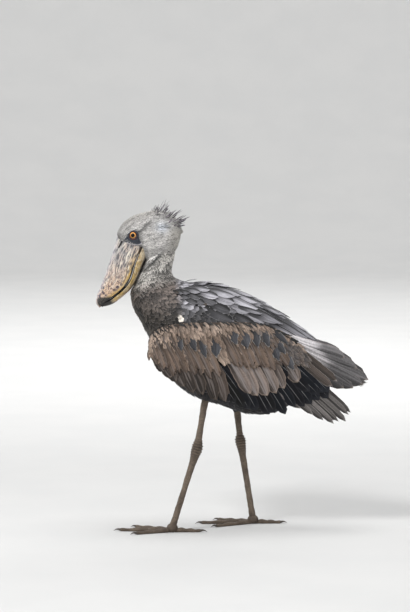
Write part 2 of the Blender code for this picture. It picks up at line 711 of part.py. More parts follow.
def make_tail_feathers():
    """Twelve tail feathers, the middle pair on top and each pair further out a layer lower."""
    root, tip = Vector((TAIL_ROOT[0], 0, TAIL_ROOT[1])), Vector((TAIL_TIP[0], 0, TAIL_TIP[1]))
    run = (tip - root).normalized()
    over = Vector((-run.z, 0, run.x))
    feathers = []
    for k in range(TAIL_FEATHERS):
        place_out = k - (TAIL_FEATHERS - 1) / 2
        pair = abs(place_out)
        layer = -TAIL_LAYER * pair - (0.4 * TAIL_LAYER if place_out > 0 else 0.0)
        size = (tip - root).length - TAIL_SHORTEN * pair

        def at(t, u, lift, place_out=place_out, pair=pair, layer=layer, size=size):
            out = place_out * (TAIL_ROOT_STEP + (TAIL_TIP_STEP - TAIL_ROOT_STEP) * t)
            arch = -TAIL_ARCH * pair * t * t
            return root + run * size * t + over * (layer + arch + lift) + Vector((0, out + u, 0))

        feathers.append(vane(f"rectrix_{k}", at, TAIL_HALF_WIDTH, VANE_THICK))
    return feathers


def make_eyes(shades):
    for word, side in SIDES.items():
        eye = ball("eye", eye_frame(side)[0], (EYE_RADIUS,) * 3, *EYE_FACETS)
        finished(eye, "eye_" + word, shades["eye_amber"])


def leg_points(word):
    """Hip, knee, ankle and foot of a leg; the shank keeps one length whatever its lean."""
    plan, side = LEGS[word], SIDES[word]
    hip, knee = (Vector((x, side * y, z)) for x, y, z in (plan["hip"], plan["knee"]))
    foot = Vector((plan["foot"][0], side * plan["foot"][1], HUB_HEIGHT))
    over = Vector((plan["ankle"][0], side * plan["ankle"][1], 0)) - foot
    level = math.hypot(over.x, over.y)
    ankle = Vector((plan["ankle"][0], side * plan["ankle"][1],
                    HUB_HEIGHT + math.sqrt(SHANK ** 2 - level ** 2)))
    return hip, knee, ankle, foot


def make_leg(word, shades):
    hip, knee, ankle, foot = leg_points(word)
    tibia, shank = knee - ankle, foot - ankle
    stretches = ((hip, knee - hip, HIP_RADII), (ankle, tibia, TIBIA_RADII), (ankle, shank, TARSUS_RADII))
    route = [start + way * share for start, way, rows in stretches for share, _ in rows]
    radii = [radius for _, _, rows in stretches for _, radius in rows]
    hub = ball("hub", foot, (HUB_RADIUS, HUB_RADIUS, HUB_HEIGHT * HUB_SWELL), *HUB_FACETS)
    whole = fuse(tube("leg", route, radii), [hub])

    split = (tibia.normalized() - shank.normalized()).normalized()
    end = hip + (knee - hip) * THIGH_END
    down = (knee - hip).normalized()
    half_gap = GAP / 2
    upper = sliced(copied(whole, "upper_leg"), ankle + split * half_gap, -split)
    upper = sliced(upper, end + down * half_gap, -down)
    finished(keep_largest(upper), "tibia_" + word, shades["leg_skin"])
    lower = sliced(copied(whole, "lower_leg"), ankle - split * half_gap, split)
    lower = sliced(lower, Vector((0, 0, 0)), Vector((0, 0, -1)))
    finished(keep_largest(lower), "tarsus_" + word, shades["leg_skin"])
    bpy.data.objects.remove(whole)

    steps = len(THIGH_RADII) - 1
    sleeve = tube("sleeve", [hip + (end - hip) * k / steps for k in range(steps + 1)], THIGH_RADII, 3)
    sleeve = sliced(sleeve, end - down * half_gap, down)
    sleeve = carve(sleeve, lofted("belly", Ovals(BODY, BODY_SAG, GAP).rings(BODY_RINGS, BODY_SIDES)))
    finished(keep_largest(sleeve), "thigh_" + word, shades["grey_feather"])


def toe_route(word, toe):
    """Points, radii and way of one toe, lying on the floor."""
    degrees, length, radius = TOES[toe]
    foot = leg_points(word)[3]
    turn = LEGS[word]["toe_turn"] + math.radians(degrees) * -SIDES[word]
    way = Vector((-math.cos(turn), math.sin(turn), 0))
    count = 2 * TOE_PADS + 1
    points, radii = [], []
    for i in range(count):
        t = i / (count - 1)
        swell = 1 + TOE_SWELL * math.cos(2 * math.pi * TOE_PADS * t)
        r = (radius + (TOE_TIP_RADIUS - radius) * t) * swell
        points.append(Vector((foot.x, foot.y, r - TOE_FLAT)) + way * length * t)
        radii.append(r)
    return points, radii, way


def grown(radii):
    return [r + GAP for r in radii]


def make_foot(word, shades):
    foot = leg_points(word)[3]
    for toe in TOES:
        points, radii, way = toe_route(word, toe)
        body = tube("toe", points, radii)
        bed = tube("bed", toe_bed(word, foot), (TARSUS_RADII[-1][1] + GAP,) * 2)
        body = carve(body, bed)
        hub_size = (HUB_RADIUS + GAP, HUB_RADIUS + GAP, HUB_HEIGHT * HUB_SWELL + GAP)
        body = carve(body, ball("hub_bed", foot, hub_size, *HUB_FACETS))
        if toe in ("inner", "outer"):
            middle = toe_route(word, "middle")
            body = carve(body, tube("middle_bed", middle[0], grown(middle[1])))
        body = sliced(body, Vector((0, 0, 0)), Vector((0, 0, -1)))
        body = sliced(body, points[-1], way)
        finished(keep_largest(body), f"toe_{word}_{toe}", shades["leg_skin"])
        finished(make_claw(points[-1], way, radii[-1]), f"claw_{word}_{toe}", shades["claw_horn"])


def toe_bed(word, foot):
    return [foot, foot + (leg_points(word)[2] - foot) * 0.2]


def make_claw(tip, way, toe_radius):
    """A curved horn from the toe's end, with its point just clear of the floor."""
    points, radii = [tip - way * CLAW_ROOT], [toe_radius * 0.9]
    for i in range(CLAW_STEPS + 1):
        t = i / CLAW_STEPS
        r = max(CLAW_RADIUS * (1 - t) ** 0.8, 0.0005)
        low = r + CLAW_DROP
        height = tip.z + (low - tip.z) * t ** 1.6 + CLAW_ARCH * math.sin(math.pi * t)
        points.append(Vector((tip.x, tip.y, max(height, low))) + way * CLAW_LENGTH * t)
        radii.append(min(r, toe_radius))
    return sliced(tube("claw", points, radii, 1), tip + way * GAP, -way)


def set_on_floor():
    """Moves the whole model so that the origin is on the floor under the middle of its box."""
    bpy.context.view_layer.update()
    parts = [o for o in bpy.context.scene.objects if o.type == "MESH"]
    corners = np.array([o.matrix_world @ v.co for o in parts for v in o.data.vertices])
    low, high = corners.min(axis=0), corners.max(axis=0)
    shift = Matrix.Translation(Vector((-(low[0] + high[0]) / 2, -(low[1] + high[1]) / 2, -low[2])))
    for part in parts:
        part.data.transform(shift)
    group = bpy.data.collections.new("shoebill")
    bpy.context.scene.collection.children.link(group)
    for part in parts:
        move_to(part, group)


def main():
    clear_scene()
    shades = make_materials()
    make_head_and_body(shades)
    make_bill(shades)
    make_eyes(shades)
    for word, side in SIDES.items():
        make_wing(word, side, shades)
        make_leg(word, shades)
        make_foot(word, shades)
    set_on_floor()


main()
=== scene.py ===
"""The shoebill's looks: one skin, feathers on it in joined meshes, bill, eyes and legs.

Shapes are worked out in the outline frame of the CAD source, in metres, and moved by SHIFT into the
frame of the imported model. The bird faces -X, so its left side is at -Y.
"""

import math

import bmesh
import bpy
import numpy as np
from mathutils import Matrix, Vector


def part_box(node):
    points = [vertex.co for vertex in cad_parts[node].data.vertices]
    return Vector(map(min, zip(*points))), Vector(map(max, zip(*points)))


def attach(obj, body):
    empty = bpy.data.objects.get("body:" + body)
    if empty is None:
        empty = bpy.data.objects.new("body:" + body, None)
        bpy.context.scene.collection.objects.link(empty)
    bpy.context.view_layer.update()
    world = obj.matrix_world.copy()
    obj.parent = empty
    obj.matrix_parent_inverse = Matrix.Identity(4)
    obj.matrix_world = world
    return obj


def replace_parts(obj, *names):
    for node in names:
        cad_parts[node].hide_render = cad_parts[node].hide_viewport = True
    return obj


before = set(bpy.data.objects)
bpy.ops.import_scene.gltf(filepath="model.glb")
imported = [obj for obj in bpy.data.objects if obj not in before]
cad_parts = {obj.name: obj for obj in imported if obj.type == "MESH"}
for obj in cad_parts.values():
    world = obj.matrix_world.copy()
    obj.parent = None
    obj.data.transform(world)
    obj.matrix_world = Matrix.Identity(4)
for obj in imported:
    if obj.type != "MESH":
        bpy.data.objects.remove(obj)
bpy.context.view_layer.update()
LEFT, RIGHT = -1, 1
SIDES = {"left": LEFT, "right": RIGHT}

# Neck and torso: ovals of top x, top z, bottom x, bottom z and half width, from the head to the tail.
BODY = (
    (-0.134, 0.860, -0.205, 0.812, 0.052),
    (-0.130, 0.806, -0.226, 0.763, 0.052),
    (-0.140, 0.762, -0.245, 0.723, 0.049),
    (-0.137, 0.738, -0.2585, 0.690, 0.056),
    (-0.120, 0.726, -0.251, 0.648, 0.071),
    (-0.094, 0.718, -0.224, 0.597, 0.088),
    (-0.055, 0.713, -0.192, 0.538, 0.104),
    (0.000, 0.705, -0.155, 0.458, 0.116),
    (0.060, 0.686, -0.085, 0.396, 0.120),
    (0.120, 0.657, 0.010, 0.362, 0.114),
    (0.176, 0.622, 0.090, 0.338, 0.099),
    (0.228, 0.583, 0.166, 0.346, 0.078),
    (0.268, 0.550, 0.225, 0.388, 0.056),
    (0.297, 0.526, 0.268, 0.440, 0.036),
    (0.314, 0.511, 0.294, 0.466, 0.022),
)
BODY_SAG = 0.15
HEAD = (
    (-0.298, 0.842, -0.243, 0.806, 0.036),
    (-0.295, 0.864, -0.228, 0.796, 0.046),
    (-0.280, 0.889, -0.213, 0.783, 0.053),
    (-0.252, 0.909, -0.197, 0.776, 0.058),
    (-0.216, 0.921, -0.180, 0.778, 0.061),
    (-0.180, 0.925, -0.162, 0.784, 0.060),
    (-0.147, 0.914, -0.142, 0.797, 0.053),
    (-0.126, 0.892, -0.127, 0.818, 0.039),
    (-0.117, 0.870, -0.119, 0.842, 0.018),
)
CHEEK_SAG = 0.10

# Bill: rows are the outer edge's x and z, the mouth line's x and z, and the half width.
UPPER_BILL = (
    (-0.2955, 0.858, -0.2235, 0.832, 0.048),
    (-0.301, 0.842, -0.228, 0.820, 0.0515),
    (-0.313, 0.800, -0.241, 0.790, 0.0530),
    (-0.325, 0.765, -0.251, 0.759, 0.0525),
    (-0.337, 0.732, -0.260, 0.731, 0.050),
    (-0.347, 0.706, -0.277, 0.706, 0.045),
    (-0.355, 0.687, -0.302, 0.684, 0.035),
    (-0.3595, 0.670, -0.322, 0.669, 0.024),
    (-0.358, 0.656, -0.336, 0.660, 0.014),
    (-0.350, 0.645, -0.342, 0.651, 0.006),
)
LOWER_BILL = (
    (-0.2000, 0.806, -0.2225, 0.8315, 0.045),
    (-0.207, 0.793, -0.2268, 0.8195, 0.049),
    (-0.220, 0.768, -0.2398, 0.7894, 0.0505),
    (-0.231, 0.743, -0.2496, 0.7582, 0.0495),
    (-0.246, 0.716, -0.2586, 0.7296, 0.045),
    (-0.266, 0.692, -0.2760, 0.7048, 0.040),
    (-0.291, 0.670, -0.3012, 0.6828, 0.031),
    (-0.313, 0.655, -0.3212, 0.6678, 0.021),
    (-0.327, 0.651, -0.3325, 0.6624, 0.012),
    (-0.3370, 0.6485, -0.3392, 0.6572, 0.008),
    (-0.3430, 0.6465, -0.3440, 0.6520, 0.005),
)
BILL_FULLNESS, CULMEN_RIDGE, CULMEN_SPREAD = 0.72, 0.07, 0.16

# Eyes, and the outline of the bare skin round each one, seen from the side.
EYE_CENTRE, EYE_RADIUS, EYE_SUNK = (-0.2505, 0.8580), 0.0124, 0.0085
EYE_TURN = math.radians(14)
EYE_OPENING, PUPIL_RADIUS, IRIS_RADIUS, LID_HEIGHT = 0.0104, 0.0060, 0.0088, 0.0034
BARE_SKIN = (
    (-0.2760, 0.8430), (-0.2700, 0.8570), (-0.2610, 0.8670), (-0.2505, 0.8715), (-0.2400, 0.8700),
    (-0.2345, 0.8620), (-0.2335, 0.8510), (-0.2290, 0.8410), (-0.2250, 0.8345), (-0.2310, 0.8305),
    (-0.2400, 0.8292), (-0.2540, 0.8312), (-0.2670, 0.8356),
)
# What the bill covers of the face, seen from the side.
BILL_REACH = (
    (-0.3010, 0.8540), (-0.2925, 0.8465), (-0.2825, 0.8405), (-0.2745, 0.8370), (-0.2661, 0.8335),
    (-0.2540, 0.8300), (-0.2400, 0.8280), (-0.2310, 0.8285), (-0.2235, 0.8270), (-0.2180, 0.8180),
    (-0.2158, 0.8060), (-0.2146, 0.7900), (-0.2165, 0.7790), (-0.2215, 0.7680), (-0.2290, 0.7560),
    (-0.2400, 0.7300), (-0.3800, 0.6000), (-0.3800, 0.8600),
)

# Wing dome, and the folded arm on it: top x, top z, low x, low z and thickness.
WING_START, WING_SLOPE = (-0.200, 0.560), math.radians(24)
WING_STEP, WING_FIRST = 0.065, -0.020
WING_HALF_WIDTHS = (0.084, 0.110, 0.125, 0.1295, 0.126, 0.116, 0.102, 0.086, 0.072, 0.060, 0.049, 0.042)
WING_MIDDLE, WING_UP, WING_DOWN, WING_DOME, WING_DOME_END = 0.020, 0.205, 0.150, 2.15, 0.97
ARM = (
    (-0.202, 0.556, -0.203, 0.524, 0.010),
    (-0.190, 0.580, -0.195, 0.500, 0.015),
    (-0.152, 0.600, -0.166, 0.476, 0.020),
    (-0.090, 0.609, -0.110, 0.466, 0.021),
    (-0.020, 0.610, -0.040, 0.464, 0.021),
    (0.050, 0.610, 0.030, 0.466, 0.020),
    (0.110, 0.604, 0.095, 0.470, 0.018),
    (0.160, 0.586, 0.146, 0.478, 0.015),
    (0.200, 0.560, 0.190, 0.488, 0.011),
    (0.226, 0.535, 0.220, 0.500, 0.005),
)

# Colours of the plumage, linear.
CROWN, FACE, EAR = (0.460, 0.440, 0.415), (0.500, 0.485, 0.470), (0.430, 0.460, 0.510)
NAPE, NECK = (0.450, 0.430, 0.395), (0.515, 0.495, 0.465)
BREAST, LOW_BREAST = (0.104, 0.085, 0.075), (0.030, 0.025, 0.020)
# The belly's colour is near black: painted shade of the underside.
MANTLE, RUMP, SHADED_BELLY = (0.225, 0.220, 0.240), (0.220, 0.215, 0.225), (0.009, 0.009, 0.012)
BROWN, WORN_BROWN, BUFF = (0.140, 0.098, 0.074), (0.320, 0.245, 0.196), (0.430, 0.350, 0.270)
SLATE, DARK_SLATE, SILVER = (0.050, 0.051, 0.058), (0.0045, 0.0055, 0.008), (0.130, 0.124, 0.127)
GREY_BROWN, LONG_BROWN, WHITE_EDGE = (0.120, 0.094, 0.080), (0.066, 0.0517, 0.044), (0.620, 0.600, 0.580)
FRONT_FAN, REAR_FAN = (0.042, 0.031, 0.025), (0.150, 0.118, 0.102)
# The thigh's colour is near black: painted shade under the body.
PRIMARY, CREAM, SHADED_THIGH = (0.110, 0.100, 0.096), (0.500, 0.460, 0.410), (0.022, 0.020, 0.022)
CREST, BLACK = (0.085, 0.076, 0.086), (0.005, 0.004, 0.004)
# Tertial tones from the lowest up; the lowest ones are darkened as painted shade.
TERTIAL_SHADES = (0.45, 0.55, 0.80, 1.0, 1.1, 1.0)


def smooth_rows(rows, t):
    """Rows at the places t of a smooth curve through them; t runs from 0 to the last row's number."""
    rows = np.asarray(rows, float)
    if rows.ndim == 1:
        return smooth_rows(rows[:, None], t)[..., 0]
    last = len(rows) - 1
    t = np.clip(np.asarray(t, float), 0, last)
    i = np.minimum(t.astype(int), last - 1)
    f = (t - i)[..., None]
    padded = np.vstack([2 * rows[0] - rows[1], rows, 2 * rows[-1] - rows[-2]])
    before, a, b, after = padded[i], padded[i + 1], padded[i + 2], padded[i + 3]
    cubic = 3 * (a - b) + after - before
    return a + 0.5 * f * (b - before + f * (2 * before - 5 * a + 4 * b - after + f * cubic))


def unit(v):
    return v / np.maximum(np.linalg.norm(v, axis=-1, keepdims=True), 1e-12)


def dot(a, b):
    return np.sum(a * b, axis=-1)


def soft(value, low, high):
    """0 below low, 1 above high and smooth between; low may be above high."""
    share = np.clip((value - low) / (high - low), 0, 1)
    return share * share * (3 - 2 * share)


def blend(a, b, share):
    return a + (np.asarray(b) - a) * np.asarray(share)[..., None]


SEARCH_STEPS = 22


def search(ahead, shape, last):
    """The places from 0 to last up to which ahead(place) holds."""
    low, high = np.zeros(shape), np.full(shape, float(last))
    for _ in range(SEARCH_STEPS):
        middle = (low + high) / 2
        held = ahead(middle)
        low, high = np.where(held, middle, low), np.where(held, high, middle)
    return (low + high) / 2


def grown(spot, centre, size):
    """A soft round spot on x, z seen from the side: 1 at its centre."""
    return np.exp(-((spot[0] - centre[0]) / size[0]) ** 2 - ((spot[1] - centre[1]) / size[1]) ** 2)


def value_noise(points, scale, seed=0):
    """Smooth noise from 0 to 1 at the points, with features of about 1/scale metres."""
    p = np.asarray(points, float) * scale + seed * 17.31
    cell = np.floor(p).astype(np.int64)
    f = p - cell
    f = f * f * (3 - 2 * f)
    total = np.zeros(p.shape[:-1])
    for corner in range(8):
        offset = np.array([corner & 1, corner >> 1 & 1, corner >> 2 & 1])
        c = cell + offset
        h = (c[..., 0] * 374761393 + c[..., 1] * 668265263 + c[..., 2] * 2147483647) & 0xFFFFFFFF
        h = ((h ^ (h >> 13)) * 1274126177) & 0xFFFFFFFF
        share = ((h ^ (h >> 16)) & 0xFFFF) / 65535.0
        total += share * np.prod(np.where(offset, f, 1 - f), axis=-1)
    return total


class Ovals:
    """A smooth round body through ovals. Angle 0 is the right side, and a quarter turn is the top."""

    def __init__(self, rows, sag=0.0, grow=0.0):
        self.rows, self.sag, self.grow = rows, sag, grow
        self.last = len(rows) - 1

    def section(self, t):
        row = smooth_rows(self.rows, t)
        top = np.stack([row[..., 0], 0 * row[..., 0], row[..., 1]], -1)
        low = np.stack([row[..., 2], 0 * row[..., 0], row[..., 3]], -1)
        up = (top - low) / 2
        length = np.linalg.norm(up, axis=-1, keepdims=True)
        return (top + low) / 2, up * (1 + self.grow / length), row[..., 4] + self.grow

    def on(self, t, angle):
        centre, up, half = self.section(t)
        rise = np.sin(angle)
        point = centre + up * rise[..., None]
        point[..., 1] += half * np.cos(angle) * (1 - self.sag * rise)
        return point

    def tangents(self, t, angle):
        """The outward normal, and how the point moves with t and with the angle."""
        step = 0.02
        low, high = np.maximum(t - step, 0), np.minimum(t + step, self.last)
        along = (self.on(high, angle) - self.on(low, angle)) / (high - low)[..., None]
        around = (self.on(t, angle + step) - self.on(t, angle - step)) / (2 * step)
        normal = unit(np.cross(along, around))
        outward = self.on(t, angle) - self.section(t)[0]
        return normal * np.where(dot(normal, outward) < 0, -1, 1)[..., None], along, around

    def locate(self, x, z):
        """The t whose oval passes over each x, z, and how far up that oval the point lies."""
        point = np.stack([x, 0 * x, z], -1)

        def ahead(t):
            centre, up, _ = self.section(t)
            offset = point - centre
            return offset[..., 0] * up[..., 2] - offset[..., 2] * up[..., 0] > 0

        t = search(ahead, np.shape(x), self.last)
        centre, up, _ = self.section(t)
        return t, dot(point - centre, up) / dot(up, up)

    def side_of(self, x, z):
        """Half width over x, z and whether the outline holds that point."""
        t, rise = self.locate(x, z)
        held = (np.abs(rise) < 1) & (t > 0.01) & (t < self.last - 0.01)
        rise = np.clip(rise, -1, 1)
        half = self.section(t)[2]
        return half * np.sqrt(1 - rise * rise) * (1 - self.sag * rise), held

    def holds(self, points, margin=0.0):
        side, held = self.side_of(points[..., 0], points[..., 2])
        return held & (np.abs(points[..., 1]) < side - margin)


TRUNK, SKULL = Ovals(BODY, BODY_SAG), Ovals(HEAD, CHEEK_SAG)


def eye_frame(side):
    """Where an eye's middle is, and the way it looks."""
    out = float(SKULL.side_of(np.array(EYE_CENTRE[0]), np.array(EYE_CENTRE[1]))[0])
    look = Vector((-math.sin(EYE_TURN), side * math.cos(EYE_TURN), 0))
    return Vector((EYE_CENTRE[0], side * out, EYE_CENTRE[1])) - look * EYE_SUNK, look


def frame_shift():
    """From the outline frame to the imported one, measured on the CAD's left eye."""
    low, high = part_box("eye_left")
    return (low + high) / 2 - eye_frame(LEFT)[0]


SHIFT = frame_shift()


def placed(name, data):
    """An object in the scene that shows data."""
    obj = bpy.data.objects.new(name, data)
    bpy.context.scene.collection.objects.link(obj)
    return obj


def new_object(name, mesh, material, body="root"):
    obj = placed(name, mesh)
    obj.data.materials.append(material)
    if body:
        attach(obj, body)
    return obj


def quad_mesh(name, points, quads):
    """A mesh from arrays of points and of four corners a face."""
    mesh = bpy.data.meshes.new(name)
    mesh.vertices.add(len(points))
    mesh.vertices.foreach_set("co", (points + np.array(SHIFT)).astype(np.float32).ravel())
    mesh.loops.add(quads.size)
    mesh.loops.foreach_set("vertex_index", quads.astype(np.int32).ravel())
    mesh.polygons.add(len(quads))
    mesh.polygons.foreach_set("loop_start", np.arange(0, quads.size, 4, dtype=np.int32))
    mesh.update(calc_edges=True)
    mesh.polygons.foreach_set("use_smooth", np.ones(len(quads), bool))
    return mesh


def grid_quads(rows, size, closed=True):
    """Corners of the faces between rows of size points each, closed round each row or open."""
    i, k = np.meshgrid(np.arange(rows - 1), np.arange(size if closed else size - 1), indexing="ij")
    a, b = i * size + k, i * size + (k + 1) % size
    return np.stack([a, b, b + size, a + size], -1).reshape(-1, 4)


def write_mesh(mesh, shape):
    """Put a bmesh into a mesh and let it go."""
    shape.to_mesh(mesh)
    shape.free()
    return mesh


def lofted(name, rings):
    """A closed body through rings of equally many points."""
    count, size = rings.shape[:2]
    mesh = quad_mesh(name, rings.reshape(-1, 3), grid_quads(count, size))
    shape = bmesh.new()
    shape.from_mesh(mesh)
    shape.verts.ensure_lookup_table()
    for first in (0, (count - 1) * size):
        shape.faces.new([shape.verts[first + k] for k in range(size)])
    bmesh.ops.recalc_face_normals(shape, faces=shape.faces)
    return write_mesh(mesh, shape)


def joined(name, meshes):
    """One mesh from several, which are removed."""
    shape = bmesh.new()
    for mesh in meshes:
        shape.from_mesh(mesh)
        bpy.data.meshes.remove(mesh)
    return write_mesh(bpy.data.meshes.new(name), shape)


def set_colours(mesh, colours, name="tint"):
    layer = mesh.attributes.new(name, "FLOAT_COLOR", "POINT")
    rgba = np.concatenate([colours, np.ones((len(colours), 1))], 1)
    layer.data.foreach_set("color", rgba.astype(np.float32).ravel())


def set_vectors(mesh, vectors, name):
    layer = mesh.attributes.new(name, "FLOAT_VECTOR", "POINT")
    layer.data.foreach_set("vector", vectors.reshape(-1, 3).astype(np.float32).ravel())


def set_bake_map(mesh, uv):
    layer = mesh.uv_layers.new(name="OFBake")
    corners = np.empty(len(mesh.loops), np.int32)
    mesh.loops.foreach_get("vertex_index", corners)
    layer.data.foreach_set("uv", uv[corners].astype(np.float32).ravel())


# The side of a tuft's patch on the map, a feather's least share of its width, and a frayed tip's reach.
BAKE_PATCH, THIN_TIP, REACH_LIMIT = 0.003, 0.06, 1.03


def rounded(s, start, shoulder, point=0.5):
    """A feather's outline: its share of the full width at share s of its length."""
    rise = start + (1 - start) * np.sin(np.clip(s / shoulder, 0, 1) * np.pi / 2)
    fall = np.clip(1 - ((s - shoulder) / (1 - shoulder)) ** 2, 0, 1) ** point
    return np.where(s < shoulder, rise, fall)


def feather_mesh(name, place, half_widths, tints, root_uv, seed, rows=5, columns=3, start=0.35, shoulder=0.62,
                 arch=0.22, fray=0.0, notch=0.35, thick=0.0, point=0.5, mirror=1.0):
    """One mesh of many feathers, each one arched sheet, or two where it has a thickness.

    place(k, s, u, lift) gives points for feather numbers k at share s of the way along, u metres
    across and lifted off the surface. mirror is -1 where a feather's two sides change places.
    """
    draw = np.random.default_rng(seed)
    count = len(half_widths)
    shape = (count, rows, columns)
    s = np.broadcast_to(np.linspace(0, 1, rows)[:, None] ** 0.9, shape)
    u = np.broadcast_to(np.linspace(-1, 1, columns), shape)
    k, flip = (np.broadcast_to(np.reshape(a, (-1, 1, 1)), shape) for a in (np.arange(count), mirror))
    ragged = draw.normal(0, 1, shape) * fray
    seeds = np.broadcast_to(draw.uniform(0, 1, (count, 1, 1)), shape)
    width = np.maximum(rounded(s, start, shoulder, point), THIN_TIP)
    width = width * half_widths[k] * (1 + ragged * np.abs(u))
    reach = np.clip(s * (1 + ragged * notch * s), 0, REACH_LIMIT)
    layers = (1.0, -1.0) if thick else (0.0,)
    body = thick / 2 * (1 - u * u) * (1 - 0.5 * s)
    points = np.stack([place(k, reach, u * width, sign * body - arch * width * u * u) for sign in layers])
    size = rows * columns
    faces = (grid_quads(rows, columns, closed=False) + np.arange(count)[:, None, None] * size).reshape(-1, 4)
    if thick:
        faces = np.concatenate([faces, faces[:, ::-1] + count * size])
    mesh = quad_mesh(name, points.reshape(-1, 3), faces)
    layers = (len(layers), 1)
    set_colours(mesh, np.tile(np.repeat(tints, size, axis=0), layers))
    set_vectors(mesh, np.tile(np.stack([u * flip, s, seeds], -1).reshape(-1, 3), layers), "vane")
    uv = root_uv[:, None, None, :] + np.stack([u, s * 2 - 1], -1) * BAKE_PATCH / 2
    set_bake_map(mesh, np.tile(uv.reshape(-1, 2), layers))
    return mesh


STREAK_TONE, RIPPLE_TONE = 0.7, 2.0
TONE_LIMITS = (0.30, 1.8)


def coat_tints(points, seed, spread=0.16, flow=None, ripple=None):
    """The plumage's colour at feather roots, each feather a little lighter or darker.

    flow and ripple give a place along the body and one round it, so that neighbours along its line,
    or round it, look alike.
    """
    draw = np.random.default_rng(seed)
    tone = 1 + draw.normal(0, spread, len(points)) + 0.35 * (value_noise(points, 60, seed) - 0.5)
    if flow is not None:
        tone = tone + STREAK_TONE * (value_noise(flow, 1.0, seed) - 0.5)
    if ripple is not None:
        tone = tone + RIPPLE_TONE * (value_noise(ripple, 1.0, seed + 1) - 0.5)
    return plumage(points) * np.clip(tone, *TONE_LIMITS)[:, None]


def distance_to_line(x, z, points):
    """How far x, z is from a line through the points, seen from the side."""
    best = np.full(np.shape(x), 1e9)
    for (ax, az), (bx, bz) in zip(points[:-1], points[1:]):
        run_x, run_z = bx - ax, bz - az
        share = np.clip(((x - ax) * run_x + (z - az) * run_z) / (run_x ** 2 + run_z ** 2), 0, 1)
        best = np.minimum(best, np.hypot(x - ax - share * run_x, z - az - share * run_z))
    return best


# Line along the wing's top edge where the back's shadow is painted on the coat.
WING_SHADOW_LINE = (
    (-0.170, 0.597), (-0.120, 0.606), (-0.030, 0.606), (0.050, 0.605), (0.110, 0.604), (0.165, 0.590),
)
EAR_CENTRE, EAR_SIZE = (-0.166, 0.881), (0.020, 0.015)
SHOULDER_DOWN, DOWN_SIZE = (-0.112, 0.628), (0.010, 0.011)
EYE_STREAK = ((-0.234, 0.866), (-0.219, 0.881), (-0.200, 0.899))
JAW_FOLD_SHADE = ((-0.176, 0.796), (-0.190, 0.781), (-0.205, 0.768), (-0.220, 0.753))
FOLD_SHADE_WIDTH, STREAK_WIDTH, WING_SHADOW_WIDTH = 0.0058, 0.0032, 0.0065


def near_line(x, z, line, width):
    """1 on a line seen from the side, falling off over its width."""
    return np.exp(-(distance_to_line(x, z, line) / width) ** 2)


def dimmed(colour, share):
    return colour * (1 - share)[..., None]


def plumage(p):
    """The colour of skin and coat at points of the outline frame, with painted shade under the jaw, on the
    underside and along the wing's top edge.
    """
    x, y, z = p[..., 0], np.abs(p[..., 1]), p[..., 2]
    head_side, wing_side = soft(y, 0.012, 0.030), soft(y, 0.05, 0.08)
    colour = np.broadcast_to(np.array(FACE), p.shape)
    colour = blend(colour, CROWN, soft(z - 0.35 * (x + 0.30), 0.868, 0.890) * soft(x, -0.110, -0.135))
    colour = blend(colour, EAR, 0.9 * grown((x, z), EAR_CENTRE, EAR_SIZE))
    colour = blend(colour, NAPE, soft(x, -0.160, -0.130) * soft(z, 0.900, 0.860))
    behind_jaw = (x + 0.198) * 0.75 - (z - 0.775) * 0.66
    on_neck = soft(behind_jaw, -0.004, 0.010) * soft(z, 0.835, 0.795)
    colour = blend(colour, NECK, on_neck)
    level = z - 0.25 * (x + 0.17)
    colour = blend(colour, BREAST, soft(level, 0.755, 0.702) * on_neck)
    colour = blend(colour, LOW_BREAST, soft(z, 0.685, 0.605) * on_neck)
    back = soft(x + 0.15 * (z - 0.65), -0.125, -0.100) * soft(z, 0.748, 0.730)
    colour = blend(colour, MANTLE, back)
    colour = blend(colour, RUMP, soft(x, 0.215, 0.275) * soft(z, 0.47, 0.51))
    colour = dimmed(colour, 0.82 * back * soft(z, 0.660, 0.636) * soft(x, 0.12, 0.06))
    # Painted shade: the underside near black.
    under = soft(z - 0.12 * np.clip(-x, 0, 1), 0.545, 0.480)
    colour = blend(colour, SHADED_BELLY, under * soft(z, 0.60, 0.56))
    # Painted shade in the fold under the jaw.
    colour = dimmed(colour, 0.90 * near_line(x, z, JAW_FOLD_SHADE, FOLD_SHADE_WIDTH) * head_side)
    colour = dimmed(colour, 0.55 * near_line(x, z, EYE_STREAK, STREAK_WIDTH) * head_side)
    below_eye = soft(x, -0.222, -0.236) * soft(z, 0.868, 0.855) * soft(z, 0.80, 0.82)
    colour = dimmed(colour, 0.35 * below_eye)
    # Painted shadow: a dark band on the coat along the wing's top edge.
    colour = dimmed(colour, 0.80 * near_line(x, z, WING_SHADOW_LINE, WING_SHADOW_WIDTH) * wing_side)
    down = grown((x, z), SHOULDER_DOWN, DOWN_SIZE)
    colour = blend(colour, CREAM, soft(down + 0.5 * value_noise(p, 160, 6), 0.75, 1.05) * wing_side)
    mottle = value_noise(p, 220, 3) * 0.5 + value_noise(p, 90, 4) * 0.5
    return colour * (0.78 + 0.44 * mottle)[..., None]


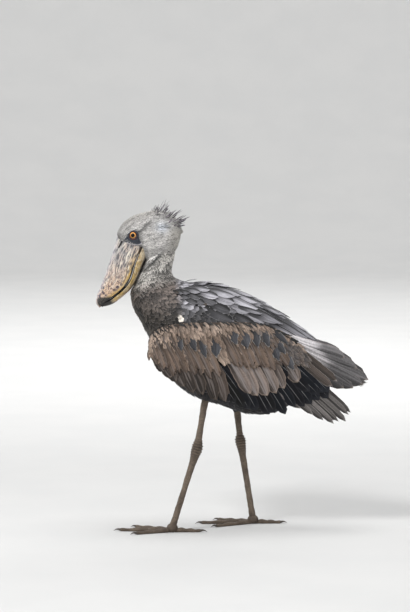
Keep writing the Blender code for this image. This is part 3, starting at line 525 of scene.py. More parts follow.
class Shader:
    """A node material in the making. Values given to a node's inputs may be sockets or numbers."""

    def __init__(self, name, roughness, specular):
        self.material = bpy.data.materials.new(name)
        self.material.use_nodes = True
        self.tree = self.material.node_tree
        self.out = self.tree.nodes["Principled BSDF"].inputs
        self.out["Roughness"].default_value = roughness
        self.out["Specular IOR Level"].default_value = specular
        self.shade = None

    def node(self, kind, settings=None, **inputs):
        made = self.tree.nodes.new(kind)
        for key, value in (settings or {}).items():
            setattr(made, key, value)
        for key, value in inputs.items():
            self.feed(made.inputs[key], value)
        return made

    def feed(self, socket, value):
        if isinstance(value, bpy.types.NodeSocket):
            self.tree.links.new(value, socket)
        else:
            socket.default_value = value

    def math(self, operation, a, b=0.0):
        made = self.node("ShaderNodeMath", {"operation": operation})
        self.feed(made.inputs[0], a)
        self.feed(made.inputs[1], b)
        return made.outputs[0]

    def times(self, share, *others):
        for other in others:
            share = self.math("MULTIPLY", share, other)
        return share

    def between(self, value, low, high, to_low=0.0, to_high=1.0):
        made = self.node("ShaderNodeMapRange", {"interpolation_type": "SMOOTHSTEP"}, Value=value)
        for key, number in (("From Min", low), ("From Max", high), ("To Min", to_low), ("To Max", to_high)):
            made.inputs[key].default_value = number
        return made.outputs[0]

    def mix(self, share, a, b, mode="MIX"):
        made = self.node("ShaderNodeMix", {"data_type": "RGBA", "blend_type": mode})
        self.feed(made.inputs[0], share)
        for socket, value in ((made.inputs[6], a), (made.inputs[7], b)):
            self.feed(socket, value if isinstance(value, bpy.types.NodeSocket) else (*value, 1.0))
        return made.outputs[2]

    def paint(self, colour, *shares):
        """Lay a colour over the shade, by the product of the shares."""
        self.shade = self.mix(self.times(*shares), self.shade, colour)

    def scale(self, factor):
        """Make the shade darker or lighter by a factor."""
        grey = self.node("ShaderNodeCombineColor", Red=factor, Green=factor, Blue=factor).outputs[0]
        self.shade = self.mix(1.0, self.shade, grey, "MULTIPLY")

    def tint(self):
        return self.node("ShaderNodeAttribute", {"attribute_name": "tint"}).outputs["Color"]

    def parts(self, name):
        """The three numbers of a vector that the mesh carries for each point."""
        vector = self.node("ShaderNodeAttribute", {"attribute_name": name}).outputs["Vector"]
        return self.node("ShaderNodeSeparateXYZ", Vector=vector).outputs

    def place(self):
        return self.node("ShaderNodeTexCoord").outputs["Object"]

    def noise(self, vector, scale, detail=3.0, roughness=0.6, distortion=0.0):
        return self.node("ShaderNodeTexNoise", Vector=vector, Scale=scale, Detail=detail,
                         Roughness=roughness, Distortion=distortion).outputs["Fac"]

    def cells(self, vector, scale, feature):
        return self.node("ShaderNodeTexVoronoi", {"feature": feature}, Vector=vector,
                         Scale=scale).outputs["Distance"]

    def combine(self, x, y, z):
        return self.node("ShaderNodeCombineXYZ", X=x, Y=y, Z=z).outputs[0]

    def made(self, height=None, strength=0.0, distance=0.0, roughness=None):
        """The material, with its shade, bump and roughness joined to it."""
        self.feed(self.out["Base Color"], self.shade)
        if roughness:
            self.feed(self.out["Roughness"], roughness)
        if height:
            bump = self.node("ShaderNodeBump", Height=height, Strength=strength, Distance=distance)
            self.feed(self.out["Normal"], bump.outputs[0])
        return self.material


DARK_SHAFT = (0.02, 0.018, 0.018)


def feather_shader(name, edge=0.35, edge_colour=WHITE_EDGE, shaft=0.4, base=0.55, barbs=0.30,
                   shaft_colour=DARK_SHAFT, specular=0.32, stripes=(26.0, 1.0), shaft_width=0.06,
                   base_span=(0.0, 0.75), centre=None, shaded_side=None, shaded_side_span=(-0.75, 0.60),
                   rim=(0.72, 0.86)):
    """Feather material: tint from the plumage, the base scaled by base (painted shade where the feather over
    it ends, when below 1), paler edge, shaft line and fine barbs; where given, painted shade and light on the
    two sides and a painted sheen down the middle.
    """
    vane = Shader(name, 0.62, specular)
    between, times = vane.between, vane.times
    vane.shade = vane.tint()
    across, along, seed = vane.parts("vane")
    out = vane.math("ABSOLUTE", across)
    lean = vane.math("SUBTRACT", along, times(out, 0.22))
    grain = vane.combine(times(lean, stripes[0]), times(across, stripes[1]), times(seed, 90.0))
    streak = vane.noise(grain, 1.6)
    worn = vane.math("ADD", times(streak, 1.5), times(vane.noise(vane.place(), 240.0), 0.5))
    # Painted shade at the base where the feather over it ends, when base is below 1; lighter when it is
    # above.
    vane.scale(between(along, *base_span, base, 1.0))
    vane.scale(between(worn, 0.6, 1.4, 1.0 - barbs, 1.0 + barbs))
    # Painted shade on one side of the feather and painted light on the other, where a neighbour overlaps it.
    if shaded_side:
        vane.scale(between(across, *shaded_side_span, shaded_side, 1.15))
    # Painted sheen: a paler grey down the middle.
    if centre:
        vane.paint(centre, between(out, 0.75, 0.15), between(streak, 0.44, 0.58), 0.8)
    border = vane.math("MAXIMUM", between(out, rim[0], 1.0), between(along, rim[1], 1.0))
    vane.paint(edge_colour, border, between(worn, 0.55, 1.15, 0.35, 1.0), edge)
    line = times(between(out, shaft_width * 1.6, shaft_width * 0.5), between(along, 0.98, 0.80))
    vane.paint(shaft_colour, line, shaft)
    return vane.made(vane.math("ADD", times(streak, 0.7), line), 0.35, 0.0006)


def skin_shader():
    skin = Shader("plumage_skin", 0.75, 0.25)
    fine = skin.noise(skin.place(), 420.0, 4.0)
    skin.shade = skin.tint()
    skin.scale(skin.between(fine, 0.3, 0.7, 0.30, 0.75))
    return skin.made(fine, 0.5, 0.0010)


def scattered(surface, first, last, steps, seed, mask):
    """Feather roots in staggered rows along surface, from place first to last, where mask(points, t) holds.

    steps(t) gives the step along and the step across, in metres. Returns places and angles.
    """
    draw = np.random.default_rng(seed)
    angles = np.linspace(0, 2 * np.pi, 181)
    places, turns = [], []
    t, number = first, 0
    while t < last:
        ring = np.full(angles.shape, t)
        reach = np.linalg.norm(surface.tangents(ring, angles)[1], axis=-1)
        step_along, step_across = steps(t)
        step_t = step_along / reach.max()
        walk = np.linalg.norm(np.diff(surface.on(ring, angles), axis=0), axis=-1)
        length = np.concatenate([[0], np.cumsum(walk)])
        count = max(int(length[-1] / step_across), 4)
        at = (np.arange(count) + 0.5 * (number % 2) + draw.uniform(-0.28, 0.28, count)) % count
        turn = np.interp(at / count * length[-1], length, angles)
        crowding = np.interp(turn, angles, reach) / reach.max()
        keep = draw.uniform(0, 1, count) < np.clip(crowding * 1.45, 0, 1)
        places.append(t + step_t * draw.uniform(-0.35, 0.35, count)[keep])
        turns.append(turn[keep])
        t, number = t + step_t, number + 1
    t, angle = np.clip(np.concatenate(places), 0.001, surface.last - 0.001), np.concatenate(turns)
    keep = mask(surface.on(t, angle), t)
    return t[keep], angle[keep]


def surface_placer(surface, t, angle, turn, lengths, low, high, ease=0.7):
    """place() for feathers rooted on ovals at t and angle, turned off the body's line by turn."""
    _, along, around = surface.tangents(t, angle)
    along_size, around_size = np.linalg.norm(along, axis=-1), np.linalg.norm(around, axis=-1)
    skew = dot(unit(along), unit(around))
    low = np.broadcast_to(low, t.shape)

    def place(k, s, u, lift):
        run = lengths[k] * s
        forward = run * np.cos(turn[k]) - u * np.sin(turn[k])
        sideways = run * np.sin(turn[k]) + u * np.cos(turn[k])
        free_t = t[k] + (forward - sideways * skew[k]) / along_size[k]
        here_angle = angle[k] + sideways / around_size[k]
        here_t = np.clip(free_t, 0, surface.last)
        past_end = np.clip(free_t - here_t, -0.3, 0.3)
        normal, way, _ = surface.tangents(here_t, here_angle)
        height = low[k] + (high[k] - low[k]) * s ** ease + lift
        return surface.on(here_t, here_angle) + normal * height[..., None] + way * past_end[..., None]

    return place


def oval_uv(surface, t, angle, corner, size):
    """Root places on an unwrap of the ovals: along and around, in one corner of the map."""
    u = corner[0] + size[0] * (0.02 + 0.96 * t / surface.last)
    v = corner[1] + size[1] * (0.02 + 0.96 * (angle % (2 * np.pi)) / (2 * np.pi))
    return np.stack([u, v], -1)


def in_outline(x, z, outline):
    """Whether x, z lies in a closed outline seen from the side."""
    inside = np.zeros(np.shape(x), bool)
    for (ax, az), (bx, bz) in zip(outline, outline[1:] + outline[:1]):
        crosses = (az > z) != (bz > z)
        inside ^= crosses & (x < (bx - ax) * (z - az) / (bz - az + 1e-12) + ax)
    return inside


def lower_bill_side(x, z):
    """Half width of the lower bill over x, z, or 0 outside its outline."""
    last = len(LOWER_BILL) - 1

    def offsets(t):
        """The row, its way from the mouth to the outer edge, and the way from the mouth to x, z."""
        row = smooth_rows(LOWER_BILL, t)
        mouth_x, mouth_z = row[..., 2], row[..., 3]
        return row, row[..., 0] - mouth_x, row[..., 1] - mouth_z, x - mouth_x, z - mouth_z

    def ahead(t):
        _, run_x, run_z, from_x, from_z = offsets(t)
        return from_x * run_z - from_z * run_x > 0

    t = search(ahead, np.shape(x), last)
    row, run_x, run_z, from_x, from_z = offsets(t)
    rise = (from_x * run_x + from_z * run_z) / (run_x ** 2 + run_z ** 2)
    sine = np.clip(rise, 0, 1) ** (1 / BILL_FULLNESS)
    held = (rise >= 0) & (rise <= 1) & (t > 0.02) & (t < last - 0.02)
    return np.where(held, row[..., 4] * np.sqrt(1 - sine * sine), 0.0)


def on_head(points):
    """Whether feathers of the head may root there: clear of the bill, the bare skin and the neck."""
    x, y, z = points[..., 0], np.abs(points[..., 1]), points[..., 2]
    bare = in_outline(x, z, BARE_SKIN) & (y > 0.02)
    return ~(bare | in_outline(x, z, BILL_REACH) | TRUNK.holds(points, 0.003))


def face_size(t):
    """How large the head's feathers are at place t: small on the face."""
    return 0.55 + 0.45 * np.clip(t / 4.0, 0, 1)


def make_head_coat():
    t, angle = scattered(SKULL, 0.15, 8.0, lambda t: (0.0040 * face_size(t), 0.0022 * face_size(t)), 21,
                         lambda points, t: on_head(points))
    root, size, count = SKULL.on(t, angle), face_size(t), len(t)
    draw = np.random.default_rng(22)
    lengths = 0.0150 * size * draw.uniform(0.8, 1.25, count)
    halves = 0.0014 * size * draw.uniform(0.8, 1.2, count)
    drop = math.radians(52) * soft(root[:, 2], 0.862, 0.790) * soft(root[:, 0], -0.235, -0.190)
    turn = np.where(np.cos(angle) > 0, -1, 1) * drop + draw.normal(0, 0.10, count)
    loose = soft(t, 4.2, 5.6) * soft(np.sin(angle), 0.2, 0.7)
    lengths = lengths * (1 + 0.6 * loose) * soft(SKULL.last - t, -0.25, 0.6)
    high = (0.0011 + 0.0014 * size) * draw.uniform(0.6, 1.4, count) * (1 + 1.8 * loose)
    place = surface_placer(SKULL, t, angle, turn, lengths, -0.0012, high)
    flow = np.stack([t * 1.3, angle * 17 + 0.9 * t, 0 * t], -1)
    tints = coat_tints(shown_at(place, count), 23, 0.12, flow)
    return feather_mesh("coat_head", place, halves, tints, oval_uv(SKULL, t, angle, (0, 0), (0.5, 0.5)), 24,
                        rows=4, start=0.5, shoulder=0.45, arch=0.35, fray=0.05)


def shown_at(place, count):
    """Where each feather shows beyond the ones over it."""
    return place(np.arange(count), np.full(count, 0.72), np.zeros(count), np.zeros(count))


def covered_by_wing(points):
    x, z = points[..., 0], points[..., 2]
    return (x > -0.165) & (x < 0.185) & (z < 0.572) & (z > 0.490 - 0.05 * soft(x, -0.05, 0.05))


# Feathers of the trunk: place along it, step along, step across, length and half width.
COAT_SIZES = (
    (0.0, 0.0050, 0.0034, 0.0120, 0.0023),
    (2.0, 0.0056, 0.0038, 0.0135, 0.0026),
    (3.2, 0.0068, 0.0052, 0.0170, 0.0040),
    (4.5, 0.0092, 0.0080, 0.0235, 0.0064),
    (6.0, 0.0115, 0.0105, 0.0300, 0.0085),
    (8.0, 0.0140, 0.0125, 0.0360, 0.0100),
    (11.0, 0.0130, 0.0110, 0.0350, 0.0088),
    (14.0, 0.0100, 0.0080, 0.0280, 0.0062),
)


def coat_sizes(t):
    """Feather step along, step across, length and half width at place t of the trunk."""
    places, *columns = zip(*COAT_SIZES)
    return [np.interp(t, places, column) for column in columns]


def make_trunk_coat(name, first, last, seed, span, rows=5):
    """Small feathers on the trunk from place first to last, kept inside the span of places."""
    def kept(points, t):
        beside_bill = np.abs(points[:, 1]) - lower_bill_side(points[:, 0], points[:, 2])
        clear = ~SKULL.holds(points, 0.0045) & ~covered_by_wing(points) & (beside_bill >= 0.002)
        return clear & (t > span[0]) & (t < span[1])

    t, angle = scattered(TRUNK, first, last, lambda t: coat_sizes(t)[:2], seed, kept)
    draw, count = np.random.default_rng(seed + 1), len(t)
    _, _, length, half = coat_sizes(t)
    lengths = length * draw.uniform(0.8, 1.2, count)
    halves = half * draw.uniform(0.85, 1.15, count)
    turn = draw.normal(0, 0.13, count)
    high = length * 0.11 * draw.uniform(0.6, 1.5, count)
    place = surface_placer(TRUNK, t, angle, turn, lengths, -0.0020, high)
    flow = np.stack([t * 1.6, angle * 14, 0 * t], -1)
    ripple = np.stack([t * 6.5, angle * 2.6, 0 * t], -1)
    tints = coat_tints(shown_at(place, count), seed + 2, 0.22, flow, ripple)
    return feather_mesh(name, place, halves, tints, oval_uv(TRUNK, t, angle, (0.5, 0), (0.5, 0.5)), seed + 3,
                        rows=rows, start=0.4, shoulder=0.58, arch=0.25, fray=0.05)


LEGS = {
    "left": {"hip": (-0.016, 0.062, 0.480), "knee": (-0.045, 0.062, 0.372),
             "foot": (-0.138, 0.072), "ankle": (-0.066, 0.062), "toe_turn": math.radians(6)},
    "right": {"hip": (0.030, 0.062, 0.440), "knee": (0.052, 0.062, 0.326),
              "foot": (0.098, 0.086), "ankle": (0.060, 0.066), "toe_turn": math.radians(-4)},
}
SHANK, HUB_HEIGHT = 0.242, 0.0125
THIGH_RADII = (0.052, 0.041, 0.022, 0.0112)
THIGH_END, THIGH_FEATHERS = 0.82, 900


def leg_points(word):
    plan, side = LEGS[word], SIDES[word]
    hip, knee = (np.array((x, side * y, z)) for x, y, z in (plan["hip"], plan["knee"]))
    foot = np.array((plan["foot"][0], side * plan["foot"][1], HUB_HEIGHT))
    level = math.hypot(plan["ankle"][0] - foot[0], side * plan["ankle"][1] - foot[1])
    ankle = np.array((plan["ankle"][0], side * plan["ankle"][1],
                      HUB_HEIGHT + math.sqrt(SHANK ** 2 - level ** 2)))
    return hip, knee, ankle, foot


def frame_along(way):
    """Two directions across way: one to its side and one over it."""
    side = unit(np.cross(way, (0.0, 0.0, 1.0)) if abs(way[2]) < 0.95 else np.cross(way, (1.0, 0.0, 0.0)))
    return side, unit(np.cross(side, way))


def tube_rings(points, radii, sides):
    """Rings of a round rod through the points."""
    points = np.asarray(points, float)
    ways = unit(np.gradient(points, axis=0))
    turn = np.linspace(0, 2 * np.pi, sides, endpoint=False)
    rings = []
    for point, way, radius in zip(points, ways, radii):
        side, over = frame_along(way)
        rings.append(point + radius * (np.cos(turn)[:, None] * side + np.sin(turn)[:, None] * over))
    return np.array(rings)


def thigh_radius(share):
    """The thigh's radius at a share of its length."""
    return smooth_rows(THIGH_RADII, share * (len(THIGH_RADII) - 1))


def thigh_rings(word):
    hip, knee, _, _ = leg_points(word)
    share = np.linspace(0, 1, 14)
    return tube_rings(hip + (knee - hip) * THIGH_END * share[:, None], thigh_radius(share) - COAT_DEPTH, 24)


SKIN_VOXEL = 0.0034
COAT_DEPTH, FACE_DEPTH = 0.0035, 0.0014
BILL_INSET = 0.014


def make_skin():
    """One skin from the face to the rump and over both thighs, under the coat."""
    turn = np.linspace(0, 2 * np.pi, 48, endpoint=False)
    parts = []
    for rows, sag, depth, count in ((BODY, BODY_SAG, COAT_DEPTH, 70), (HEAD, CHEEK_SAG, FACE_DEPTH, 50)):
        shape = Ovals(rows, sag, -depth)
        t = np.linspace(0, shape.last, count)
        parts.append(lofted("skin_part", shape.on(*np.broadcast_arrays(t[:, None], turn[None, :]))))
    parts += [lofted("skin_part", thigh_rings(word)) for word in SIDES]
    obj = placed("skin", joined("skin", parts))
    remesh = obj.modifiers.new("remesh", "REMESH")
    remesh.mode, remesh.voxel_size, remesh.use_smooth_shade = "VOXEL", SKIN_VOXEL, True
    smooth = obj.modifiers.new("smooth", "SMOOTH")
    smooth.factor, smooth.iterations = 0.5, 6
    bpy.context.view_layer.update()
    made = bpy.data.meshes.new_from_object(obj.evaluated_get(bpy.context.evaluated_depsgraph_get()))
    bpy.data.objects.remove(obj)
    made.shade_smooth()
    points = np.empty(len(made.vertices) * 3, np.float32)
    made.vertices.foreach_get("co", points)
    points = points.reshape(-1, 3) - np.array(SHIFT)
    x, z = points[:, 0], points[:, 2]
    under_bill = soft(distance_to_line(x, z, BILL_REACH), 0.0, 0.006) * in_outline(x, z, BILL_REACH)
    inset = BILL_INSET * under_bill * soft(z, 0.735, 0.75)
    points[:, 1] -= np.sign(points[:, 1]) * np.minimum(inset, np.abs(points[:, 1]) * 0.5)
    made.vertices.foreach_set("co", (points + np.array(SHIFT)).astype(np.float32).ravel())
    set_colours(made, plumage(points))
    return made


def make_thigh_coat(word, seed):
    """Loose feathers down the thigh to the bare leg, painted near black as shade under the body."""
    hip, knee, _, _ = leg_points(word)
    draw = np.random.default_rng(seed)
    axis = (knee - hip) * THIGH_END
    size = np.linalg.norm(axis)
    side, over = frame_along(unit(axis))
    share = draw.uniform(0.02, 1.0, THIGH_FEATHERS) ** 0.9
    turn = draw.uniform(0, 2 * np.pi, THIGH_FEATHERS)
    out = np.cos(turn)[:, None] * side + np.sin(turn)[:, None] * over
    keep = ~TRUNK.holds(hip + axis * share[:, None] + out * thigh_radius(share)[:, None], -0.001)
    share, turn, out = share[keep], turn[keep], out[keep]
    count = len(share)
    lengths = (0.026 - 0.012 * share) * draw.uniform(0.8, 1.2, count)
    tangent = np.cross(unit(axis), out)

    def place(k, s, u, lift):
        at = share[k] + lengths[k] * s / size
        r = thigh_radius(np.clip(at, 0, 1)) - 0.0012 + 0.0028 * s ** 0.7 + lift
        r = r - 0.25 * (at - 1) * (at > 1) * size
        return hip + axis * at[..., None] + out[k] * r[..., None] + tangent[k] * u[..., None]

    # Near black: painted shade under the body.
    tints = np.array(SHADED_THIGH) * draw.uniform(0.6, 1.5, count)[:, None]
    corner = 0.27 if word == "right" else 0.02
    uv = np.stack([corner + 0.2 * share, 0.55 + 0.2 * turn / (2 * np.pi)], -1)
    return feather_mesh(f"coat_thigh_{word}", place, 0.0068 - 0.0035 * share, tints, uv, seed + 1, fray=0.06)


# Rows of the crest along the skull: place, feathers, degrees to each side, and length.
CREST_ROWS = (
    (4.5, 8, 26, 0.030), (4.9, 10, 36, 0.040), (5.3, 11, 42, 0.045), (5.8, 10, 50, 0.042),
    (6.3, 10, 56, 0.040), (6.8, 10, 52, 0.042), (7.1, 6, 36, 0.036),
)


def make_crest():
    """Loose narrow feathers that stand up and back from the hind crown."""
    draw = np.random.default_rng(5)
    t, angle, length = [], [], []
    for place, count, spread, size in CREST_ROWS:
        share = np.linspace(-1, 1, count) + draw.uniform(-0.08, 0.08, count)
        t += list(place + draw.uniform(-0.2, 0.2, count))
        angle += list(np.radians(90 + spread * share))
        length += list(size * (1 - 0.3 * share ** 2) * draw.uniform(0.5, 1.2, count))
    t, angle, length, count = np.array(t), np.array(angle), np.array(length), len(t)
    normal, _, _ = SKULL.tangents(t, angle)
    root = SKULL.on(t, angle) - normal * 0.004
    aside, rise = draw.uniform(-0.14, 0.14, count), draw.uniform(0.0, 0.30, count)
    back = unit(np.stack([np.ones(count), aside, rise], -1))
    run = normal * draw.uniform(0.80, 1.20, count)[:, None] + back * draw.uniform(0.20, 0.65, count)[:, None]
    run = unit(run)
    side = unit(np.cross(run, normal))
    over = np.cross(side, run)
    curl = draw.uniform(-0.04, 0.16, count)
    fall = np.array((0.5, 0, -1.0))

    def place(k, s, u, lift):
        bend = fall * (curl[k] * length[k] * s * s)[..., None]
        straight = root[k] + run[k] * (length[k] * s)[..., None]
        return straight + bend + side[k] * u[..., None] + over[k] * lift[..., None]

    tints = np.array(CREST) * draw.uniform(0.25, 2.2, count)[:, None]
    halves = draw.uniform(0.0018, 0.0040, count)
    return feather_mesh("crest", place, halves, tints, oval_uv(SKULL, t, angle, (0, 0.8), (0.3, 0.15)), 6,
                        rows=10, start=0.5, columns=5, shoulder=0.55, arch=0.3, fray=0.10, thick=0.0004)


def wing_place(x, z):
    """Place along the wing's rows of half widths, and share of the way from its crest to its edge."""
    dx, dz = x - WING_START[0], z - WING_START[1]
    along = dx * math.cos(WING_SLOPE) - dz * math.sin(WING_SLOPE)
    across = dx * math.sin(WING_SLOPE) + dz * math.cos(WING_SLOPE) - WING_MIDDLE
    share = across / np.where(across > 0, WING_UP, WING_DOWN)
    return (along - WING_FIRST) / WING_STEP, np.clip(share, -WING_DOME_END, WING_DOME_END)


def wing_out(x, z):
    """How far the wing's dome stands from the middle plane, over x, z."""
    place, share = wing_place(x, z)
    return smooth_rows(WING_HALF_WIDTHS, place) * (1 - np.abs(share) ** WING_DOME) ** (1 / WING_DOME)


def wing_uv(x, z, side):
    """Root places on an unwrap of the wing's dome: along it, and round it from edge to edge."""
    place, share = wing_place(x, z)
    u = 0.02 + 0.46 * place / (len(WING_HALF_WIDTHS) - 1)
    v = 0.52 + 0.46 * (np.arcsin(share) / np.pi + 0.5)
    return np.stack([u + (0.5 if side == RIGHT else 0.0), v], -1)


def on_wing(x, z, lift, side):
    step = 0.0005
    out = wing_out(x, z)
    slope_x = (wing_out(x + step, z) - out) / step
    slope_z = (wing_out(x, z + step) - out) / step
    normal = unit(np.stack([-slope_x, np.ones_like(out), -slope_z], -1))
    point = np.stack([x, out, z], -1) + normal * np.asarray(lift)[..., None]
    point[..., 1] *= side
    return point


def on_arm(place, share):
    """x and z at a place along the folded arm and a share of its height."""
    top_x, top_z, low_x, low_z, _ = np.moveaxis(smooth_rows(ARM, place), -1, 0)
    return low_x + (top_x - low_x) * share, low_z + (top_z - low_z) * share


def arm_place(x, z):
    """Place along the folded arm and share of its height, over x, z."""
    def height(place):
        row = smooth_rows(ARM, place)
        return (z - row[..., 3]) / (row[..., 1] - row[..., 3])

    place = search(lambda place: x > on_arm(place, height(place))[0], np.shape(x), len(ARM) - 1)
    return place, height(place)


ARM_LOW_EDGE, ARM_CREST_AT, ARM_TOP_EDGE = 0.14, 0.78, 0.45


def arm_lift(x, z):
    """Thickness of the folded arm over x, z, nothing outside it."""
    place, share = arm_place(x, z)
    thick = smooth_rows(ARM, place)[..., 4]
    rising = ARM_LOW_EDGE + (1 - ARM_LOW_EDGE) * np.sin(np.clip(share / ARM_CREST_AT, 0, 1) * np.pi / 2)
    fall = np.clip((share - ARM_CREST_AT) / (1 - ARM_CREST_AT), 0, 1)
    bulge = np.where(share < ARM_CREST_AT, rising, 1 - (1 - ARM_TOP_EDGE) * fall * fall)
    return thick * bulge * soft(share, -0.12, 0.02)


ARM_PAD = 0.0095


def wing_feathers(name, side, vanes, seed, **shape):
    """Joined feathers on the wing, from rows that vane_rows makes."""
    root, half, low, high, bow = (vanes[key] for key in ("root", "half", "low", "high", "bow"))
    run = vanes["tip"] - root
    size = np.linalg.norm(run, axis=-1)
    run = run / size[:, None]
    across = np.stack([-run[:, 1], run[:, 0]], -1)

    def place(k, s, u, lift):
        shift = u + bow[k] * size[k] * np.sin(np.pi * s) * 0.5
        flat = root[k] + run[k] * (size[k] * s)[..., None] + across[k] * shift[..., None]
        x, z = flat[..., 0], flat[..., 1]
        settled = low[k] + (high[k] - low[k]) * s + vanes["tilt"] * u / half[k] * np.minimum(1, 3 * s)
        base = np.maximum(arm_lift(x, z), ARM_PAD) if vanes["over_arm"] else 0.0
        return on_wing(x, z, settled + lift + base, side)

    uv = wing_uv(root[:, 0], root[:, 1], side)
    return feather_mesh(name, place, half, vanes["tint"], uv, seed, **shape)


def vane_rows(root, tip, tint, half, low, high, bow, over_arm=True, tilt=0.0014):
    """Feathers of the wing as arrays with a row for each; low and high are the lifts at root and tip.

    All lie over the folded arm or all on the wing's dome, tilted alike.
    """
    half, low, high, bow = (np.broadcast_to(value, len(root)) for value in (half, low, high, bow))
    return {"root": root, "tip": tip, "tint": tint, "half": half, "low": low, "high": high, "bow": bow,
            "over_arm": over_arm, "tilt": tilt}


def tier(draw, count, roots, tips, half, low, high, tint, bow=0.0, over_arm=False, shades=0.12, jitter=0.05):
    """A tier of feathers spread evenly from the first root and tip to the last."""
    share = np.clip(np.linspace(0, 1, count) + draw.uniform(-0.2, 0.2, count) / count, 0, 1)
    root, tip = (smooth_rows(rows, share * (len(rows) - 1)) for rows in (roots, tips))
    tip = tip + (tip - root) * draw.uniform(-jitter, jitter, count)[:, None]
    colours = np.array(tint) * (1 + draw.normal(0, shades, count))[:, None]
    half = half * draw.uniform(0.90, 1.10, count)
    return vane_rows(root, tip, np.clip(colours, 0.005, 1), half, low, high + draw.uniform(0, 0.0008, count),
                     bow, over_arm)


def merged(tiers):
    """Several tiers as one, where they tilt alike and all lie over the arm or none does."""
    return {key: np.concatenate([rows[key] for rows in tiers]) if np.ndim(value) else value
            for key, value in tiers[0].items()}


def covert_way(x):
    """Degrees below level that small wing feathers point at x."""
    return np.radians(np.interp(x, (-0.20, -0.15, -0.05, 0.05, 0.15, 0.22), (78, 68, 62, 57, 47, 40)))


def slanting(root, way, length):
    """The tip of a feather that points down by the angle way."""
    return root + np.stack([np.cos(way), -np.sin(way)], -1) * length[:, None]


def small_coverts(draw):
    """Rows of small worn feathers over the folded arm, smallest along its front and top."""
    tiers = []
    for number, share in enumerate(np.linspace(1.0, 0.42, 13)):
        size = 0.024 + 0.022 * soft(share, 1.0, 0.4)
        count = int(64 - 20 * (1 - share))
        place = np.linspace(0.12, 8.7, count) + draw.uniform(-0.16, 0.16, count) + 0.10 * (number % 2)
        root = np.stack(on_arm(place, np.clip(share + draw.uniform(-0.045, 0.045, count), 0, 1)), -1)
        x, z = root.T
        way = covert_way(x) + draw.normal(0, 0.12, count)
        front = soft(x, -0.12, -0.19)
        length = size * (1 - 0.40 * front) * draw.uniform(0.75, 1.30, count)
        patch = value_noise(np.stack([x, 0 * x, z], -1), 42, 5)
        tint = blend(np.broadcast_to(np.array(BROWN), (count, 3)), WORN_BROWN, soft(patch, 0.35, 0.75))
        tint = blend(tint, WORN_BROWN, 0.30 * soft(share, 0.75, 0.95))
        tint = blend(tint, np.array(WORN_BROWN) * 1.05, front * soft(share, 0.5, 0.7))
        slaty = soft(x, 0.050, 0.110) * soft(share, 1.0, 0.88) * soft(patch, 0.30, 0.55)
        tint = blend(tint, np.array(SLATE) * 0.9, 0.85 * slaty)
        tint = tint * np.exp(draw.normal(0, 0.19, count))[:, None]
        tip = slanting(root, way, length)
        half = length * draw.uniform(0.10, 0.17, count)
        high = 0.0014 + draw.uniform(0, 0.0008, count)
        bow = draw.uniform(-0.12, 0.12, count)
        tiers.append(vane_rows(root, tip, tint, half, -0.0004, high, bow, tilt=0.0003))
    return merged(tiers)


def shadow_strokes(draw):
    """Short near-black strokes shaped as feathers along the top of the folded arm: painted shadow that the
    back casts on it.
    """
    count = 54
    place = np.linspace(1.0, 8.4, count) + draw.uniform(-0.1, 0.1, count)
    root = smooth_rows(ARM, place)[:, :2] + np.stack([0 * place, draw.uniform(-0.004, 0.002, count)], -1)
    way = covert_way(root[:, 0]) * draw.uniform(0.3, 0.8, count)
    tip = slanting(root, way, draw.uniform(0.009, 0.024, count))
    half = draw.uniform(0.0012, 0.0028, count)
    bow = draw.uniform(-0.1, 0.1, count)
    return vane_rows(root, tip, np.full((count, 3), 0.014), half, 0.0008, 0.0028, bow, tilt=0.0004)


# Fresh slate feathers with pale rims among the worn ones: root, tip and half width.
FRESH_COVERTS = (
    ((-0.120, 0.580), (-0.108, 0.530), 0.0080),
    ((-0.096, 0.586), (-0.068, 0.532), 0.0100),
    ((-0.072, 0.580), (-0.0400, 0.5120), 0.0110),
    ((-0.022, 0.585), (-0.0120, 0.5150), 0.0150),
    ((0.024, 0.600), (0.0400, 0.5480), 0.0120),
    ((0.054, 0.602), (0.0740, 0.5380), 0.0150),
    ((0.086, 0.602), (0.1040, 0.5400), 0.0110),
    ((0.104, 0.602), (0.1400, 0.5380), 0.0120),
    ((0.133, 0.569), (0.1836, 0.5190), 0.0100),
    ((0.127, 0.596), (0.1890, 0.5427), 0.0095),
    ((0.165, 0.540), (0.2070, 0.4776), 0.0115),
    ((0.134, 0.565), (0.1660, 0.5000), 0.0110),
)


def fresh_coverts(draw):
    root, tip, half = (np.array(column) for column in zip(*FRESH_COVERTS))
    count = len(root)
    tint = np.array(SLATE) * draw.uniform(0.75, 1.25, count)[:, None]
    tip = tip + draw.normal(0, 0.0015, (count, 2))
    return vane_rows(root, tip, tint, half * 1.3, -0.0024, 0.0050 + 0.0004 * np.arange(count) / count, 0.03,
                     tilt=0.0007)


